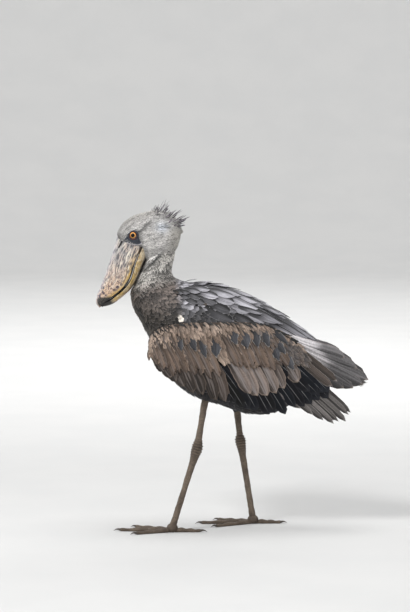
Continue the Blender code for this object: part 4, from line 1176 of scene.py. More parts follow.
# Tiers of the wing's larger feathers: count, roots, tips, half width, two lifts, tint and the rest.
TIERS = {
    "flight": (
        (13, ((-0.060, 0.486), (0.190, 0.508)),
         ((0.030, 0.388), (0.085, 0.364), (0.160, 0.350), (0.240, 0.366), (0.310, 0.392)),
         0.0165, 0.0042, 0.0042, DARK_SLATE, {"bow": 0.05, "shades": 0.3}),
        (4, ((0.130, 0.520), (0.180, 0.530)), ((0.262, 0.405), (0.318, 0.402)),
         0.0160, 0.0062, 0.0070, DARK_SLATE, {"bow": 0.04, "shades": 0.3}),
    ),
    "greater": (
        (8, ((-0.196, 0.535), (-0.160, 0.545), (-0.052, 0.550)),
         ((-0.158, 0.473), (-0.113, 0.440), (-0.055, 0.409), (0.016, 0.386)),
         0.0210, 0.0078, 0.0082, FRONT_FAN, {"bow": 0.08, "jitter": 0.015, "shades": 0.25}),
    ),
    "rear": (
        (6, ((0.008, 0.530), (0.070, 0.545), (0.150, 0.545)),
         ((0.086, 0.408), (0.114, 0.400), (0.150, 0.410), (0.172, 0.422), (0.221, 0.442)),
         0.0185, 0.0078, 0.0082, REAR_FAN, {"bow": 0.05, "jitter": 0.03, "shades": 0.25}),
    ),
    "long": (
        (2, ((0.178, 0.550), (0.196, 0.560)), ((0.3200, 0.4230), (0.3350, 0.4400)),
         0.0115, 0.0086, 0.0096, LONG_BROWN, {"bow": -0.03, "jitter": 0.0}),
    ),
    "primary": (
        (8, ((0.020, 0.482), (0.170, 0.500)),
         ((0.200, 0.376), (0.250, 0.352), (0.310, 0.322), (0.350, 0.318), (0.376, 0.338)),
         0.0088, 0.0012, 0.0012, PRIMARY, {"bow": 0.06, "shades": 0.20}),
    ),
    "median": (
        (10, ((-0.196, 0.560), (-0.150, 0.570), (-0.050, 0.570)),
         ((-0.176, 0.496), (-0.130, 0.474), (-0.070, 0.464), (0.000, 0.462)),
         0.0150, 0.0006, 0.0022, BROWN, {"over_arm": True, "shades": 0.22, "jitter": 0.08}),
        (9, ((0.000, 0.575), (0.140, 0.565)),
         ((0.044, 0.496), (0.090, 0.482), (0.140, 0.480), (0.190, 0.492)),
         0.0130, 0.0006, 0.0022, BROWN, {"over_arm": True, "shades": 0.22, "jitter": 0.12}),
    ),
    "tertial": (
        (6, ((0.160, 0.548), (0.190, 0.566)),
         ((0.352, 0.420), (0.396, 0.412), (0.424, 0.420), (0.424, 0.440), (0.392, 0.474), (0.348, 0.506)),
         0.0200, 0.0060, 0.0085, np.outer(TERTIAL_SHADES, SILVER), {"bow": -0.04}),
    ),
}
VANE_SHAPE = {"rows": 16, "columns": 7, "start": 0.45, "arch": 0.10, "thick": 0.0008}
# The wing's pieces: look, seed, and where their feathers differ from VANE_SHAPE.
WING_PIECES = {
    "primary": ("primary_feather", 40, {"shoulder": 0.86, "fray": 0.02}),
    "flight": ("flight_feather", 41, {"shoulder": 0.80, "fray": 0.02}),
    "greater": ("greater_covert", 42, {"shoulder": 0.74, "fray": 0.04}),
    "rear": ("rear_covert", 43, {"shoulder": 0.74, "fray": 0.04}),
    "long": ("long_tertial", 44, {"shoulder": 0.80, "fray": 0.03}),
    "median": ("greater_covert", 45, {"shoulder": 0.62, "fray": 0.08, "notch": 0.8}),
    "tertial": ("tertial", 46, {"shoulder": 0.76, "fray": 0.02}),
    "fresh": ("fresh_covert", 47, {"shoulder": 0.40, "fray": 0.08, "point": 0.9}),
    # Near-black strokes of painted shadow along the arm's top.
    "shadow": ("shade", 48, {"shoulder": 0.50, "fray": 0.10}),
    "lesser": ("worn_covert", 51, {"rows": 9, "columns": 5, "start": 0.55, "shoulder": 0.50, "arch": 0.08,
                              "fray": 0.10, "notch": 0.8, "thick": 0.0}),
}
WING_SEEDS = {"left": 11, "right": 23}


def make_wing(word, side, looks):
    draw = np.random.default_rng(WING_SEEDS[word])
    vanes = {}
    for part, plans in TIERS.items():
        vanes[part] = merged([tier(draw, *plan, **rest) for *plan, rest in plans])
    for part, make in (("fresh", fresh_coverts), ("shadow", shadow_strokes), ("lesser", small_coverts)):
        vanes[part] = make(draw)
    made = []
    for part, (look, seed, shape) in WING_PIECES.items():
        name = f"wing_{word}_{part}"
        mesh = wing_feathers(name, side, vanes[part], seed, **{**VANE_SHAPE, **shape})
        made.append(new_object(name, mesh, looks[look]))
    made.append(make_arm(word, side, looks["skin"]))
    for piece in made:
        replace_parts(piece, f"wing_{word}")


ARM_SEEN_FROM = 0.36


def make_arm(word, side, material):
    """The folded arm under the small feathers."""
    places, shares = np.linspace(0, len(ARM) - 1, 60), np.linspace(ARM_SEEN_FROM, 1, 24)
    place, share = np.meshgrid(places, shares, indexing="ij")
    x, z = on_arm(place, share)
    outer = on_wing(x, z, arm_lift(x, z) - 0.0010, side)
    inner = on_wing(x, z, -0.020 * np.clip(2 * (share - ARM_SEEN_FROM), 0.05, 1), side)
    mesh = lofted(f"wing_{word}_arm", np.concatenate([outer, inner[:, ::-1]], 1))
    mesh.shade_smooth()
    set_colours(mesh, np.broadcast_to(np.array(BROWN) * 0.6, (len(mesh.vertices), 3)))
    return new_object(f"wing_{word}_arm", mesh, material)


# Rows of scapulars on the trunk: first and last place, degrees up from the side, degrees that they drop,
# reach along, half width, lift at the tip, and how many.
SCAPULAR_ROWS = (
    (4.4, 6.0, 37, 2, 1.00, 0.0088, 0.0030, 6),
    (4.7, 6.7, 45, 3, 1.40, 0.0120, 0.0040, 5),
    (5.3, 7.9, 33, 4, 1.90, 0.0150, 0.0036, 4),
    (5.5, 8.2, 41, 4, 2.10, 0.0150, 0.0044, 4),
    (4.9, 7.4, 53, 3, 1.80, 0.0148, 0.0050, 5),
    (5.1, 8.0, 63, 3, 2.00, 0.0150, 0.0060, 5),
    (5.4, 8.4, 75, 1, 1.80, 0.0140, 0.0070, 5),
    (7.6, 9.2, 48, -7, 2.40, 0.0140, 0.0074, 4),
    (8.0, 9.8, 58, -5, 2.80, 0.0150, 0.0086, 4),
    (8.4, 10.3, 70, -4, 2.80, 0.0140, 0.0098, 4),
    (9.0, 10.6, 83, -2, 2.10, 0.0125, 0.0108, 4),
    (4.7, 9.6, 87, 0, 1.50, 0.0130, 0.0066, 8),
)


def scapular_shade(rise, start, share):
    """How light a scapular is: dark low on the side and at a row's front, paler on the spine and the rump."""
    shade = 0.40 if rise < 47 else 1.0
    if rise > 60 and start < 7.0:
        shade *= 1.2
    if start > 8.0:
        shade *= 1.15
    return shade * (0.75 + 0.25 * min(1.0, 2.5 * share))


def make_scapulars(material):
    draw = np.random.default_rng(31)
    rows, tints = [], []
    for side in SIDES.values():
        for first, last, rise, drop, reach, half_width, top, count in SCAPULAR_ROWS:
            for k in range(count):
                share = k / (count - 1)
                start = first + (last - first) * share + draw.uniform(-0.08, 0.08)
                level = math.radians(rise + draw.uniform(-3, 3))
                angle = level if side == RIGHT else math.pi - level
                _, along, around = TRUNK.tangents(np.array([start]), np.array([angle]))
                growth = 0.62 + 0.38 * min(1.0, 2.2 * share)
                size = float(np.linalg.norm(along)) * reach * growth * draw.uniform(0.80, 1.25)
                shift = -math.radians(drop) * float(np.linalg.norm(around)) / size
                turn = math.atan(shift) * side + draw.normal(0, 0.07)
                half = half_width * growth * draw.uniform(0.9, 1.1)
                rows.append((start, angle, turn, size, half, top + 0.0020 * (count - 1 - k) / 2))
                tint = np.array(GREY_BROWN if draw.uniform() < 0.25 and rise < 50 else MANTLE)
                tints.append(tint * scapular_shade(rise, start, share) * math.exp(draw.normal(0, 0.20)))
    t, angle, turn, length, half, high = np.array(rows).T
    place = surface_placer(TRUNK, t, angle, turn, length, -0.002, high, ease=0.5)
    uv = oval_uv(TRUNK, t, angle, (0, 0.5), (0.5, 0.3))
    mirror = np.where(np.cos(angle) > 0, -1, 1)
    mesh = feather_mesh("scapulars", place, half, np.clip(tints, 0.01, 1), uv, 32, rows=14, columns=9,
                        start=0.5, shoulder=0.66, arch=0.10, fray=0.02, thick=0.0008, mirror=mirror)
    return new_object("scapulars", mesh, material)


TAIL_ROOT, TAIL_TIP, TAIL_FEATHERS, TAIL_HALF_WIDTH = (0.287, 0.493), (0.430, 0.428), 12, 0.0125
TAIL_ROOT_STEP, TAIL_TIP_STEP = 0.0026, 0.0040
TAIL_LAYER, TAIL_ARCH, TAIL_SHORTEN = 0.0017, 0.0016, 0.0022


def make_tail(material):
    """Tail feathers, the middle pair on top and each pair further out a layer lower."""
    root = np.array((TAIL_ROOT[0], 0, TAIL_ROOT[1]))
    tip = np.array((TAIL_TIP[0], 0, TAIL_TIP[1]))
    length, run = np.linalg.norm(tip - root), unit(tip - root)
    over = np.array((-run[2], 0, run[0]))
    out = np.arange(TAIL_FEATHERS) - (TAIL_FEATHERS - 1) / 2
    pair = np.abs(out)
    layer = -TAIL_LAYER * pair - np.where(out > 0, 0.4 * TAIL_LAYER, 0)

    def place(k, s, u, lift):
        size = (length - TAIL_SHORTEN * pair[k]) * s
        sideways = out[k] * (TAIL_ROOT_STEP + (TAIL_TIP_STEP - TAIL_ROOT_STEP) * s) + u
        height = layer[k] - TAIL_ARCH * pair[k] * s * s + lift
        point = root + run * size[..., None] + over * height[..., None]
        point[..., 1] += sideways
        return point

    draw = np.random.default_rng(61)
    tints = np.array(SILVER) * 0.62 * draw.uniform(0.85, 1.15, TAIL_FEATHERS)[:, None]
    uv = np.stack([0.90 + 0 * out, 0.55 + 0.03 * np.arange(TAIL_FEATHERS)], -1)
    half = np.full(TAIL_FEATHERS, TAIL_HALF_WIDTH)
    mesh = feather_mesh("tail_feathers", place, half, tints, uv, 62, rows=22, columns=9, start=0.6,
                        shoulder=0.86, arch=0.08, fray=0.015, thick=0.0009)
    return new_object("tail_feathers", mesh, material)


def bill_grid(rows, rings, arc):
    """A bill half on a grid, along it and over it from right to left.

    Returns points, places along, shares of the way up from the mouth line, and the full way up.
    """
    t, angle = np.meshgrid(np.linspace(0, len(rows) - 1, rings), np.linspace(0, np.pi, arc), indexing="ij")
    row = smooth_rows(rows, t)
    outer = np.stack([row[..., 0], 0 * t, row[..., 1]], -1)
    mouth = np.stack([row[..., 2], 0 * t, row[..., 3]], -1)
    across = np.cos(angle)
    ridge = CULMEN_RIDGE * np.exp(-(across / CULMEN_SPREAD) ** 2)
    rise = (np.abs(np.sin(angle)) ** BILL_FULLNESS + ridge) / (1 + CULMEN_RIDGE)
    points = mouth + (outer - mouth) * rise[..., None]
    points[..., 1] += row[..., 4] * across
    return points, t, rise, np.linalg.norm(outer - mouth, axis=-1)


NOSTRIL = ((-0.2830, 0.8385), (-0.2925, 0.8220))
# Far enough from the nostril to be clear of it, on the bill half that has none.
NO_SLIT = 1.0


def bell(value, width):
    """1 at no value, falling off over the width."""
    return np.exp(-(value / width) ** 2)


def make_bill_half(name, rows, material):
    """One half of the bill, with its mouth line, grooves and nostrils sunk in and its horn uneven."""
    points, t, rise, height = bill_grid(rows, 150, 96)
    share = t / (len(rows) - 1)
    normal = unit(np.cross(np.gradient(points, axis=0), np.gradient(points, axis=1)))
    outward = points - points.mean(axis=1, keepdims=True)
    normal = normal * np.where(dot(normal, outward) < 0, -1, 1)[..., None]
    from_mouth = rise * height
    dent = -0.0026 * bell(from_mouth, 0.0016) * soft(share, 0.86, 0.60)
    wave = (value_noise(points * np.array((1, 1, 0.35)), 90, 8) - 0.5) * 0.0012
    grain = (value_noise(points, 420, 9) - 0.5) * 0.0004
    from_slit = np.full(t.shape, NO_SLIT)
    if rows is UPPER_BILL:
        from_slit = distance_to_line(points[..., 0], points[..., 2], NOSTRIL)
        on_flank = np.abs(points[..., 1]) > 0.012
        groove = -0.0011 * bell(rise - 0.84, 0.035) * soft(share, 0.02, 0.10) * soft(share, 0.84, 0.74)
        nail = -0.0010 * bell(t - 6.7 - 0.6 * (1 - rise), 0.10)
        nostril = (0.0008 * bell(from_slit - 0.0036, 0.0014) - 0.0042 * bell(from_slit, 0.0014)) * on_flank
        dent = dent + groove + nail + nostril
    fade = soft(share, 0.0, 0.03) * soft(share, 1.0, 0.97)
    mesh = lofted(name, points + normal * ((dent + wave + grain) * fade)[..., None])
    set_vectors(mesh, np.stack([share, rise, from_mouth], -1), "horn")
    set_vectors(mesh, np.stack([from_slit, height * (1 - rise), 0 * share], -1), "edges")
    return new_object(name, mesh, material)


def upper_bill_shader():
    """Horn from grey at the face to beige, streaked along it, spotted in front, with a dark nail that is
    partly painted shade and has painted glints, a painted highlight along the culmen, and painted shade in
    the mouth line and the nostril.
    """
    horn = Shader("upper_bill_horn", 0.42, 0.45)
    between, times, paint, place = horn.between, horn.times, horn.paint, horn.place()
    share, rise, from_mouth = horn.parts("horn")
    from_slit, from_culmen, _ = horn.parts("edges")
    lines = horn.combine(times(share, 0.055), from_mouth, 0.0)
    streak = horn.noise(lines, 270.0, 3.0, 0.55, 0.4)
    wide_streak = horn.noise(lines, 120.0, 3.0, 0.6, 0.6)
    broad = horn.noise(place, 46.0, 3.0, 0.5)
    spots = horn.noise(place, 95.0, 3.0, 0.6, 0.8)
    fine = horn.noise(place, 520.0)
    dots = horn.cells(place, 64.0, "F1")
    horn.shade = horn.mix(between(share, 0.20, 0.60), (0.330, 0.310, 0.300), (0.640, 0.450, 0.310))
    paint((0.640, 0.500, 0.410), between(broad, 0.42, 0.60), 0.5)
    paint((0.600, 0.390, 0.110), between(from_mouth, 0.026, 0.005), between(share, 0.05, 0.40), 0.9)
    paint((0.740, 0.680, 0.580), between(wide_streak, 0.50, 0.62), between(share, 0.85, 0.30), 0.85)
    paint((0.070, 0.066, 0.078), between(streak, 0.50, 0.44), between(share, 0.90, 0.20), 0.90)
    paint((0.090, 0.050, 0.062), between(spots, 0.52, 0.58), between(share, 0.25, 0.55),
          between(from_mouth, 0.006, 0.024), 0.85)
    paint((0.028, 0.020, 0.050), between(dots, 0.40, 0.27), between(share, 0.34, 0.52),
          between(from_mouth, 0.008, 0.020), 0.9)
    paint((0.070, 0.045, 0.045), between(fine, 0.58, 0.66), between(share, 0.10, 0.30), 0.6)
    # Painted highlight: a pale lilac line along the culmen.
    paint((0.500, 0.480, 0.520), between(from_culmen, 0.010, 0.001),
          between(streak, 0.35, 0.6, 0.4, 1.0), 0.70)
    # The nail: black, partly painted shade of the tip's underside, clear of a thin edge along the culmen.
    on_nail = horn.math("SUBTRACT", share, times(rise, 0.05))
    nail = times(between(on_nail, 0.665, 0.725), between(from_culmen, 0.0010, 0.0060))
    paint((0.016, 0.013, 0.012), nail)
    # Painted glints: pale flecks on the dark nail.
    paint((0.420, 0.380, 0.320), nail, between(fine, 0.58, 0.66), 0.7)
    paint((0.220, 0.130, 0.090), between(share, 0.93, 0.98), 0.6)
    # The mouth line: faint tan for a stretch behind the gape, black elsewhere as painted shade in the gap
    # between the bill's halves.
    early = between(share, 0.09, 0.02, 0.0, 0.0030)
    lip_width = horn.math("ADD", between(share, 0.0, 0.7, 0.0022, 0.0050), early)
    faint = times(between(share, 0.05, 0.12), between(share, 0.32, 0.22))
    paint(horn.mix(faint, BLACK, (0.110, 0.065, 0.028)), horn.math("LESS_THAN", from_mouth, lip_width))
    # Painted shade in the nostril slit.
    paint(BLACK, between(from_slit, 0.0036, 0.0020))
    height = horn.math("ADD", streak, times(fine, 0.5))
    return horn.made(height, 0.35, 0.0008, between(fine, 0.3, 0.7, 0.34, 0.55))


def lower_bill_shader():
    """Yellowish horn, slaty below at the back, rusty below in front, with a black tip that is partly painted
    shade and a black edge that is painted shade in the mouth line.
    """
    horn = Shader("lower_bill_horn", 0.42, 0.45)
    between, times, paint = horn.between, horn.times, horn.paint
    share, rise, from_mouth = horn.parts("horn")
    broad = horn.noise(horn.place(), 60.0, 3.0, 0.55)
    fine = horn.noise(horn.combine(times(share, 0.055), from_mouth, 0.0), 430.0, 4.0)
    horn.shade = horn.mix(between(broad, 0.38, 0.60), (0.520, 0.360, 0.130), (0.680, 0.560, 0.350))
    paint((0.420, 0.400, 0.370), between(share, 0.30, 0.0), 0.6)
    paint((0.300, 0.120, 0.035), between(rise, 0.55, 1.0), between(share, 0.25, 0.5), 0.9)
    paint((0.095, 0.105, 0.130), between(rise, 0.62, 0.80), between(share, 0.50, 0.34), 0.9)
    paint((0.140, 0.085, 0.060), between(fine, 0.50, 0.40), 0.75)
    # Black tip, partly painted shade of the tip's underside.
    paint((0.014, 0.011, 0.010), between(share, 0.63, 0.70))
    # Painted shade in the mouth line: a black edge.
    paint((0.006, 0.005, 0.005), between(from_mouth, 0.0030, 0.0018))
    return horn.made(fine, 0.3, 0.0007, between(fine, 0.3, 0.7, 0.36, 0.56))


def bare_skin_shader():
    """Wrinkled slate skin, red against the eye and with a pale border below."""
    skin = Shader("bare_skin", 0.55, 0.3)
    outward, low_edge, _ = skin.parts("ring")
    wrinkle = skin.noise(skin.place(), 700.0, 4.0)
    skin.shade = skin.mix(skin.between(wrinkle, 0.40, 0.62), (0.012, 0.013, 0.018), (0.046, 0.055, 0.074))
    skin.paint((0.070, 0.018, 0.012), skin.between(outward, 0.22, 0.02))
    skin.paint((0.560, 0.530, 0.560), skin.between(outward, 0.84, 0.93), low_edge, 0.9)
    return skin.made(wrinkle, 0.4, 0.0006, skin.between(wrinkle, 0.3, 0.7, 0.38, 0.62))


def make_bare_skin(word, side, material):
    """Lids and the bare skin round an eye, out to its outline."""
    turns, rings = 96, 26
    edge, centre = smooth_loop(BARE_SKIN, turns), np.array(EYE_CENTRE)
    inner = centre + EYE_OPENING * unit(edge - centre)
    share = np.linspace(0, 1, rings)[:, None, None] ** 1.2
    flat = inner + (edge - inner) * share
    out = np.broadcast_to(share[..., 0], flat.shape[:2])
    x, z = flat[..., 0], flat[..., 1]
    from_lid = np.hypot(x - centre[0], z - centre[1]) - EYE_OPENING - 0.0012
    folds = (value_noise(np.stack([x, 0 * x, z], -1), 380, 2) - 0.5) * 0.0008
    swell = (0.0012 + folds) * np.sin(np.pi * out) + LID_HEIGHT * bell(from_lid, 0.0020)
    border = 0.0010 * bell(out - 0.93, 0.05) - 0.0022 * soft(out, 0.97, 1.0) - 0.0016 * soft(out, 0.10, 0.0)
    points = np.stack([x, side * (SKULL.side_of(x, z)[0] + 0.0006 + swell + border), z], -1)
    quads = grid_quads(rings, turns)
    mesh = quad_mesh(f"bare_skin_{word}", points.reshape(-1, 3), quads[:, ::-1] if side == LEFT else quads)
    set_vectors(mesh, np.stack([out, soft(z, 0.8400, 0.8370), 0 * out], -1), "ring")
    return new_object(f"bare_skin_{word}", mesh, material)


def smooth_loop(points, count):
    """count points evenly spread on a smooth closed curve through the points."""
    padded = np.vstack([points[-2:], points, points[:3]])
    return smooth_rows(padded, np.linspace(0, len(points), count, endpoint=False) + 2)


def eye_shader():
    """An orange iris with rays and a red rim, round a black pupil, in the eye's own space."""
    eye = Shader("eye", 0.06, 0.22)
    between, times = eye.between, eye.times
    x, y, _ = eye.node("ShaderNodeSeparateXYZ", Vector=eye.place()).outputs
    radius = eye.math("SQRT", eye.math("ADD", times(x, x), times(y, y)))
    spokes = eye.combine(times(eye.math("ARCTAN2", y, x), 6.0), times(radius, 260.0), 0.0)
    rays = eye.noise(spokes, 1.5, 3.0, 0.55)
    iris = eye.mix(between(rays, 0.35, 0.65), (0.780, 0.340, 0.080), (0.980, 0.580, 0.220))
    iris = eye.mix(between(radius, RED_RIM, IRIS_RADIUS), iris, (0.300, 0.045, 0.012))
    pupil = between(radius, PUPIL_RADIUS - 0.0002, PUPIL_RADIUS + 0.0003)
    eye.shade = eye.mix(pupil, (0.003, 0.003, 0.003), iris)
    eye.paint((0.008, 0.006, 0.006), between(radius, IRIS_RADIUS, IRIS_RADIUS + 0.0007))
    return eye.made()


RED_RIM, CORNEA_RADIUS, CORNEA_BULGE = 0.0079, 0.0085, 0.0009


def make_eye(word, side, material):
    """An eye whose own Z axis looks out, with a slight cornea bulge."""
    centre, look = eye_frame(side)
    shape = bmesh.new()
    bmesh.ops.create_uvsphere(shape, u_segments=48, v_segments=32, radius=EYE_RADIUS)
    for vert in shape.verts:
        rim = math.hypot(vert.co.x, vert.co.y)
        if vert.co.z > 0:
            vert.co.z += CORNEA_BULGE * max(0.0, 1 - (rim / CORNEA_RADIUS) ** 2)
    mesh = write_mesh(bpy.data.meshes.new(f"eyeball_{word}"), shape)
    mesh.shade_smooth()
    mesh.materials.append(material)
    obj = placed(f"eyeball_{word}", mesh)
    obj.matrix_world = Matrix.Translation(centre + SHIFT) @ look.to_track_quat("Z", "Y").to_matrix().to_4x4()
    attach(obj, "root")
    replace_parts(obj, f"eye_{word}")


HIP_RADII = ((0.20, 0.0079), (1.00, 0.0099))
TIBIA_RADII = ((0.55, 0.0084), (0.22, 0.0093), (0.10, 0.0131), (0.03, 0.0152))
TARSUS_RADII = (
    (0.03, 0.0152), (0.09, 0.0128), (0.20, 0.0096), (0.50, 0.0083), (0.85, 0.0086), (1.00, 0.0103),
)
# Toes: degrees out from the foot's way, length and radius.
TOES = {
    "middle": (0.0, 0.150, 0.0078),
    "inner": (-31.0, 0.112, 0.0070),
    "outer": (29.0, 0.128, 0.0072),
    "hind": (176.0, 0.080, 0.0072),
}
TOE_TIP_RADIUS, TOE_FLAT, TOE_SWELL, TOE_PADS = 0.0046, 0.0012, 0.10, 3
CLAW_LENGTH, CLAW_RADIUS, CLAW_DROP, CLAW_ARCH = 0.0210, 0.0040, 0.0008, 0.0022
HUB_RADIUS, FLOOR_GAP = 0.0160, 0.0002
FOLD_STEP, SCUTE_STEP, PLATE_STEP = 0.0078, 0.0095, 0.0062


def eased(values, times):
    """Values along a line, each drawn towards its two neighbours, so many times."""
    for _ in range(times):
        values[1:-1] = (values[:-2] + 2 * values[1:-1] + values[2:]) / 4
    return values


def make_leg(word, side, material):
    """A bare leg from the thigh to the toes, with folds round the ankle and scutes down the shank."""
    hip, knee, ankle, foot = leg_points(word)
    stretches = (
        (hip, knee - hip, HIP_RADII),
        (ankle, knee - ankle, TIBIA_RADII),
        (ankle, foot - ankle, TARSUS_RADII),
    )
    route = np.array([start + way * share for start, way, rows in stretches for share, _ in rows])
    radii = np.array([radius for _, _, rows in stretches for _, radius in rows])
    length = np.concatenate([[0], np.cumsum(np.linalg.norm(np.diff(route, axis=0), axis=-1))])
    at = np.linspace(0, length[-1], 260)
    points = eased(np.stack([np.interp(at, length, route[:, i]) for i in range(3)], -1), 10)
    rings = tube_rings(points, eased(np.interp(at, length, radii), 8), 40)
    normal = unit(rings - points[:, None])
    from_ankle = np.linalg.norm(points - ankle, axis=-1)
    wave = np.sin(at / FOLD_STEP * 2 * np.pi)
    folds = 0.0018 * wave * bell(from_ankle, 0.024)
    scutes = 0.00035 * np.abs(np.sin(at / SCUTE_STEP * np.pi)) ** 0.5
    rough = (value_noise(rings, 300, 12) - 0.5) * 0.0009 + (value_noise(rings, 90, 13) - 0.5) * 0.0012
    rings = rings + normal * ((folds + scutes)[:, None] + rough)[..., None]
    # Painted shade in the troughs of the ankle's folds.
    crease_shade = soft(wave, 0.2, -0.9) * bell(from_ankle, 0.028)
    horn = np.zeros(rings.shape)
    horn[..., CREASED] = crease_shade[:, None]
    parts = [(rings, horn), hub_rings(foot)] + [toe_rings(word, toe) for toe in TOES]
    return joined_rods(f"leg_{word}", parts, material)


# Which number of a leg's vector says how dark the skin is painted: shade in the ankle's creases, and how much
# darker the foot and the toes are.
CREASED, FOOT_CREASES, TOE_CREASES = 2, 0.4, 0.15


def hub_rings(foot):
    """The ball of the foot, flat on the floor."""
    turns = np.linspace(0, 2 * np.pi, 40, endpoint=False)
    rise, turn = np.meshgrid(np.linspace(-1.2, 1.45, 24), turns, indexing="ij")
    reach = np.cos(rise) * HUB_RADIUS
    points = np.stack([foot[0] + reach * np.cos(turn), foot[1] + reach * np.sin(turn),
                       HUB_HEIGHT + np.sin(rise) * HUB_HEIGHT * 1.1], -1)
    return on_floor(points, FOOT_CREASES)


def on_floor(rings, creased):
    """Rings held above the floor, with their vector for the leg's material."""
    rings[..., 2] = np.maximum(rings[..., 2], FLOOR_GAP)
    horn = np.zeros(rings.shape)
    horn[..., CREASED] = creased
    return rings, horn


def toe_plan(word, toe):
    """The middle of the foot, and the toe's way, length and radius."""
    degrees, length, radius = TOES[toe]
    turn = LEGS[word]["toe_turn"] - math.radians(degrees) * SIDES[word]
    return leg_points(word)[3], np.array((-math.cos(turn), math.sin(turn), 0)), length, radius


def toe_rings(word, toe):
    foot, way, length, radius = toe_plan(word, toe)
    t = np.linspace(0, 1, 130)
    swell = 1 + TOE_SWELL * np.cos(2 * np.pi * TOE_PADS * t)
    r = (radius + (TOE_TIP_RADIUS - radius) * t) * swell
    points = np.stack([foot[0] + way[0] * length * t, foot[1] + way[1] * length * t, r - TOE_FLAT], -1)
    rings = tube_rings(points, r, 32)
    normal = unit(rings - points[:, None])
    plates = 0.00055 * np.abs(np.sin(t * length / PLATE_STEP * np.pi)) ** 0.4
    rough = (value_noise(rings, 260, 14) - 0.5) * 0.0007
    rings = rings + normal * (plates[:, None] * np.clip(normal[..., 2], 0, 1) + rough)[..., None]
    return on_floor(rings, TOE_CREASES)


def joined_rods(name, parts, material):
    """Closed rods as one piece, each from its rings and a vector per point for its material."""
    meshes = []
    for rings, horn in parts:
        meshes.append(lofted("rod", rings))
        set_vectors(meshes[-1], horn, "scute")
    mesh = joined(name, meshes)
    mesh.shade_smooth()
    return new_object(name, mesh, material)


def claw_rings(word, toe):
    foot, way, length, _ = toe_plan(word, toe)
    end_radius = TOE_TIP_RADIUS * (1 + TOE_SWELL)
    tip = np.array((foot[0], foot[1], end_radius - TOE_FLAT)) + way * length
    t = np.linspace(-0.12, 1, 40)
    on = np.clip(t, 0, 1)
    r = np.maximum(CLAW_RADIUS * (1 - on) ** 0.8, 0.0005)
    low = r + CLAW_DROP
    height = np.maximum(tip[2] + (low - tip[2]) * on ** 1.6 + CLAW_ARCH * np.sin(np.pi * on), low)
    points = np.stack([tip[0] + way[0] * CLAW_LENGTH * t, tip[1] + way[1] * CLAW_LENGTH * t, height], -1)
    rings = tube_rings(points, np.minimum(r, end_radius), 20)
    return rings, np.zeros(rings.shape)


def leg_shader():
    """Dull brown scaly skin, with painted shade in its creases."""
    skin = Shader("leg_skin", 0.62, 0.35)
    place, between, paint = skin.place(), skin.between, skin.paint
    creased = skin.parts("scute")[CREASED]
    line = between(skin.cells(place, 260.0, "DISTANCE_TO_EDGE"), 0.0, 0.10)
    fine = skin.noise(place, 420.0, 4.0)
    broad = skin.noise(place, 34.0, 3.0, 0.5)
    skin.shade = skin.mix(between(broad, 0.35, 0.65), (0.120, 0.090, 0.066), (0.215, 0.165, 0.120))
    # Painted shade in the ankle's creases, and an even darkening of the foot and the toes.
    paint((0.030, 0.020, 0.015), creased, 0.85)
    paint((0.060, 0.045, 0.038), between(fine, 0.58, 0.42), 0.5)
    paint((0.035, 0.028, 0.024), skin.math("SUBTRACT", 1.0, line), 0.7)
    height = skin.math("ADD", line, skin.times(fine, 0.5))
    return skin.made(height, 0.5, 0.0007, between(fine, 0.3, 0.7, 0.5, 0.72))


def claw_shader():
    claw = Shader("claw_horn", 0.34, 0.5)
    fine = claw.noise(claw.place(), 380.0, 4.0)
    claw.shade = claw.mix(claw.between(fine, 0.35, 0.65), (0.030, 0.024, 0.020), (0.085, 0.066, 0.052))
    return claw.made(fine, 0.25, 0.0005, claw.between(fine, 0.3, 0.7, 0.26, 0.45))


# Camera, floor and light.
VIEW_CENTRE, VIEW_HEIGHT, VIEW_DISTANCE = (-0.0435, 0.650), 1.775, 8.0
VIEW_ELEVATION = math.radians(4.5)
SENSOR = 36.0


def make_camera():
    data = bpy.data.cameras.new("camera")
    data.sensor_width = SENSOR
    data.lens = SENSOR * VIEW_DISTANCE / VIEW_HEIGHT
    camera = placed("camera", data)
    target = Vector((VIEW_CENTRE[0], 0, VIEW_CENTRE[1])) + SHIFT
    back = Vector((0, -math.cos(VIEW_ELEVATION), math.sin(VIEW_ELEVATION)))
    camera.location = target + back * VIEW_DISTANCE
    camera.rotation_mode = "QUATERNION"
    camera.rotation_quaternion = (-back).to_track_quat("-Z", "Y")
    bpy.context.scene.camera = camera


FLOOR_REACH, FLOOR_BEND = 11.0, 6.0


def make_floor():
    """A pale floor that bends up into a wall all round."""
    pale = Shader("floor", 0.9, 0.1)
    grain = pale.noise(pale.place(), 3.0, 3.0, 0.5)
    pale.shade = pale.mix(pale.between(grain, 0.3, 0.7), (0.600, 0.600, 0.596), (0.618, 0.616, 0.610))
    turn = np.linspace(0, 2 * np.pi, 96, endpoint=False)
    bend = np.linspace(0, np.pi / 2, 24)
    bent = FLOOR_REACH + FLOOR_BEND * np.sin(bend)
    reach = np.concatenate([[0.0001, 1, 3, 6], bent, [FLOOR_REACH + FLOOR_BEND]])
    height = np.concatenate([[0, 0, 0, 0], FLOOR_BEND * (1 - np.cos(bend)), [FLOOR_BEND * 1.6]])
    points = np.stack([np.outer(reach, np.cos(turn)), np.outer(reach, np.sin(turn)),
                       np.outer(height, np.ones_like(turn))], -1) - np.array(SHIFT)
    mesh = quad_mesh("floor", points.reshape(-1, 3), grid_quads(len(reach), len(turn))[:, ::-1])
    floor = new_object("floor", mesh, pale.made(), body=None)


